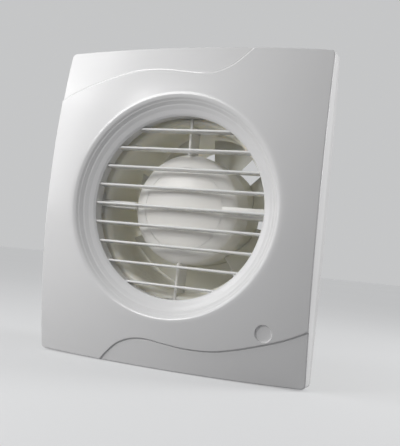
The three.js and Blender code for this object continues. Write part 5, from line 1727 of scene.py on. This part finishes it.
def make_stage():
    low = CAD_BOX[0]
    segments = 96
    verts = [(0, 0, 0)] + [(*on_circle(4.0, 360 * i / segments), 0) for i in range(segments)]
    mesh = bpy.data.meshes.new("floor")
    mesh.from_pydata(verts, [], [(0, i + 1, (i + 1) % segments + 1) for i in range(segments)])
    floor = bpy.data.objects.new("floor", mesh)
    floor.location = (0, 0, low[2] - 0.0002)
    bpy.context.scene.collection.objects.link(floor)
    material, shader, surface = blank_material("pale floor")
    place = shader.node("ShaderNodeTexCoord").outputs["Object"]
    tone = colours().floor
    clouds = shader.noise(place, 3.0, 2.0, 0.5)
    paint = shader.mix(shader.between(clouds, 0.3, 0.7), with_alpha(tone), tuple(0.96 * c for c in tone) + (1,))
    seen = background_ray(shader)
    paint = shader.mix(seen, FLOOR_SHADE, paint)
    lift = shader.mix(seen, (0, 0, 0, 1), tuple(FLOOR_LIFT * c for c in tone) + (1,))
    material.node_tree.links.new(lift, surface.inputs["Emission Color"])
    surface.inputs["Emission Strength"].default_value = 1.0
    material.node_tree.links.new(paint, surface.inputs["Base Color"])
    surface.inputs["Roughness"].default_value = 0.75
    surface.inputs["Specular IOR Level"].default_value = 0.2
    mesh.materials.append(material)
    world = bpy.data.worlds.new("studio")
    world.use_nodes = True
    world.node_tree.nodes.clear()
    sky = Shader(world.node_tree)
    seen = sky.node("ShaderNodeBackground", {"Color": (0.56, 0.565, 0.57, 1), "Strength": 1.0})
    lighting = sky.node("ShaderNodeBackground", {"Color": (0.97, 0.985, 1.0, 1), "Strength": 0.255})
    both = sky.node("ShaderNodeMixShader", {0: background_ray(sky), 1: lighting.outputs[0], 2: seen.outputs[0]})
    sky.node("ShaderNodeOutputWorld", {"Surface": both.outputs[0]})
    bpy.context.scene.world = world
    soft_light("key from the upper left", (-460, -220, 390), (-10, -10, 0), (300, 300), 0.78)
    soft_light("key from the left", (-560, -240, 160), (-20, -10, 0), (300, 300), 0.74)
    soft_light("near fill", (-210, -380, 170), (-5, 0, 0), (160, 160), 0.82)
    soft_light("side from behind", (480, 270, 250), (80, 0, 0), (260, 420), 2.5)
    bpy.context.scene.view_settings.view_transform = "Standard"


# ---- Operators, panel and registration ------------------------------------------------------------


class FAN_OT_camera(bpy.types.Operator):
    """Set the camera at the angle of the picture"""

    bl_idname = "fan.camera"
    bl_label = "Set the camera"

    def execute(self, context):
        make_camera()
        return {"FINISHED"}


class FAN_OT_cover(bpy.types.Operator):
    """Make the domed front cover with its stepped funnel and corner waves"""

    bl_idname = "fan.cover"
    bl_label = "Make the front cover"

    def execute(self, context):
        make_cover()
        return {"FINISHED"}


class FAN_OT_grille(bpy.types.Operator):
    """Make the slats across the ring and the ring that carries them"""

    bl_idname = "fan.grille"
    bl_label = "Make the slat grille"

    def execute(self, context):
        make_grille()
        return {"FINISHED"}


class FAN_OT_housing(bpy.types.Operator):
    """Make the motor's cup with its four arms and feet"""

    bl_idname = "fan.housing"
    bl_label = "Make the motor housing"

    def execute(self, context):
        make_housing()
        return {"FINISHED"}


class FAN_OT_cap(bpy.types.Operator):
    """Make the domed cap in the front of the motor housing"""

    bl_idname = "fan.cap"
    bl_label = "Make the motor cap"

    def execute(self, context):
        make_cap()
        return {"FINISHED"}


class FAN_OT_channel_lid(bpy.types.Operator):
    """Make the lid over the arm that the leads run through"""

    bl_idname = "fan.channel_lid"
    bl_label = "Make the lead channel lid"

    def execute(self, context):
        make_channel_lid()
        return {"FINISHED"}


class FAN_OT_rear_cover(bpy.types.Operator):
    """Make the vented cover behind the motor"""

    bl_idname = "fan.rear_cover"
    bl_label = "Make the motor's rear cover"

    def execute(self, context):
        make_rear_cover()
        return {"FINISHED"}


class FAN_OT_rear_screws(bpy.types.Operator):
    """Make the cross-head screws of the rear cover"""

    bl_idname = "fan.rear_screws"
    bl_label = "Make the rear cover's screws"

    def execute(self, context):
        make_rear_screws()
        return {"FINISHED"}


class FAN_OT_impeller(bpy.types.Operator):
    """Make the hub with its row of twisted blades"""

    bl_idname = "fan.impeller"
    bl_label = "Make the impeller"

    def execute(self, context):
        make_impeller()
        return {"FINISHED"}


class FAN_OT_shaft_end(bpy.types.Operator):
    """Make the shaft with the washer and nut that hold the impeller"""

    bl_idname = "fan.shaft_end"
    bl_label = "Make the shaft, washer and nut"

    def execute(self, context):
        make_shaft_end()
        return {"FINISHED"}


class FAN_OT_base(bpy.types.Operator):
    """Make the wall plate with its duct spigot and fixing holes"""

    bl_idname = "fan.base"
    bl_label = "Make the wall plate and spigot"

    def execute(self, context):
        make_base()
        return {"FINISHED"}


class FAN_OT_terminals(bpy.types.Operator):
    """Make the terminal block with its clamps and screws"""

    bl_idname = "fan.terminals"
    bl_label = "Make the terminal block"

    def execute(self, context):
        make_terminals()
        return {"FINISHED"}


class FAN_OT_cable_entry(bpy.types.Operator):
    """Make the grommet and the cable clamp with its screws"""

    bl_idname = "fan.cable_entry"
    bl_label = "Make the cable entry"

    def execute(self, context):
        make_cable_entry()
        return {"FINISHED"}


class FAN_OT_leads(bpy.types.Operator):
    """Make the two insulated leads from the coil to the terminals"""

    bl_idname = "fan.leads"
    bl_label = "Make the motor leads"

    def execute(self, context):
        make_leads()
        return {"FINISHED"}


class FAN_OT_motor(bpy.types.Operator):
    """Wind the coil and finish the core, rotor and bearings"""

    bl_idname = "fan.motor"
    bl_label = "Finish the motor"

    def execute(self, context):
        make_motor()
        return {"FINISHED"}


class FAN_OT_stage(bpy.types.Operator):
    """Lay the floor and place the soft lights"""

    bl_idname = "fan.stage"
    bl_label = "Set the stage"

    def execute(self, context):
        make_stage()
        return {"FINISHED"}


OPERATORS = [
    FAN_OT_camera,
    FAN_OT_cover,
    FAN_OT_grille,
    FAN_OT_housing,
    FAN_OT_cap,
    FAN_OT_channel_lid,
    FAN_OT_rear_cover,
    FAN_OT_rear_screws,
    FAN_OT_impeller,
    FAN_OT_shaft_end,
    FAN_OT_base,
    FAN_OT_terminals,
    FAN_OT_cable_entry,
    FAN_OT_leads,
    FAN_OT_motor,
    FAN_OT_stage,
]


class FAN_PT_sidebar(bpy.types.Panel):
    """Sizes, colours and steps of the extractor fan"""

    bl_idname = "FAN_PT_sidebar"
    bl_label = "Extractor fan"
    bl_space_type = "VIEW_3D"
    bl_region_type = "UI"
    bl_category = "Extractor fan"

    def draw(self, context):
        for group in (context.scene.fan_sizes, context.scene.fan_colours):
            column = self.layout.column(align=True)
            for key in group.__annotations__:
                column.prop(group, key)
        for step in OPERATORS:
            self.layout.operator(step.bl_idname)


CLASSES = [FanSizes, FanColours, *OPERATORS, FAN_PT_sidebar]


def register():
    for cls in CLASSES:
        bpy.utils.register_class(cls)
    bpy.types.Scene.fan_sizes = PointerProperty(type=FanSizes)
    bpy.types.Scene.fan_colours = PointerProperty(type=FanColours)


def unregister():
    del bpy.types.Scene.fan_colours
    del bpy.types.Scene.fan_sizes
    for cls in reversed(CLASSES):
        bpy.utils.unregister_class(cls)


def main():
    register()
    for step in OPERATORS:
        getattr(bpy.ops.fan, step.bl_idname.split(".")[1])()


if __name__ == "__main__":
    main()
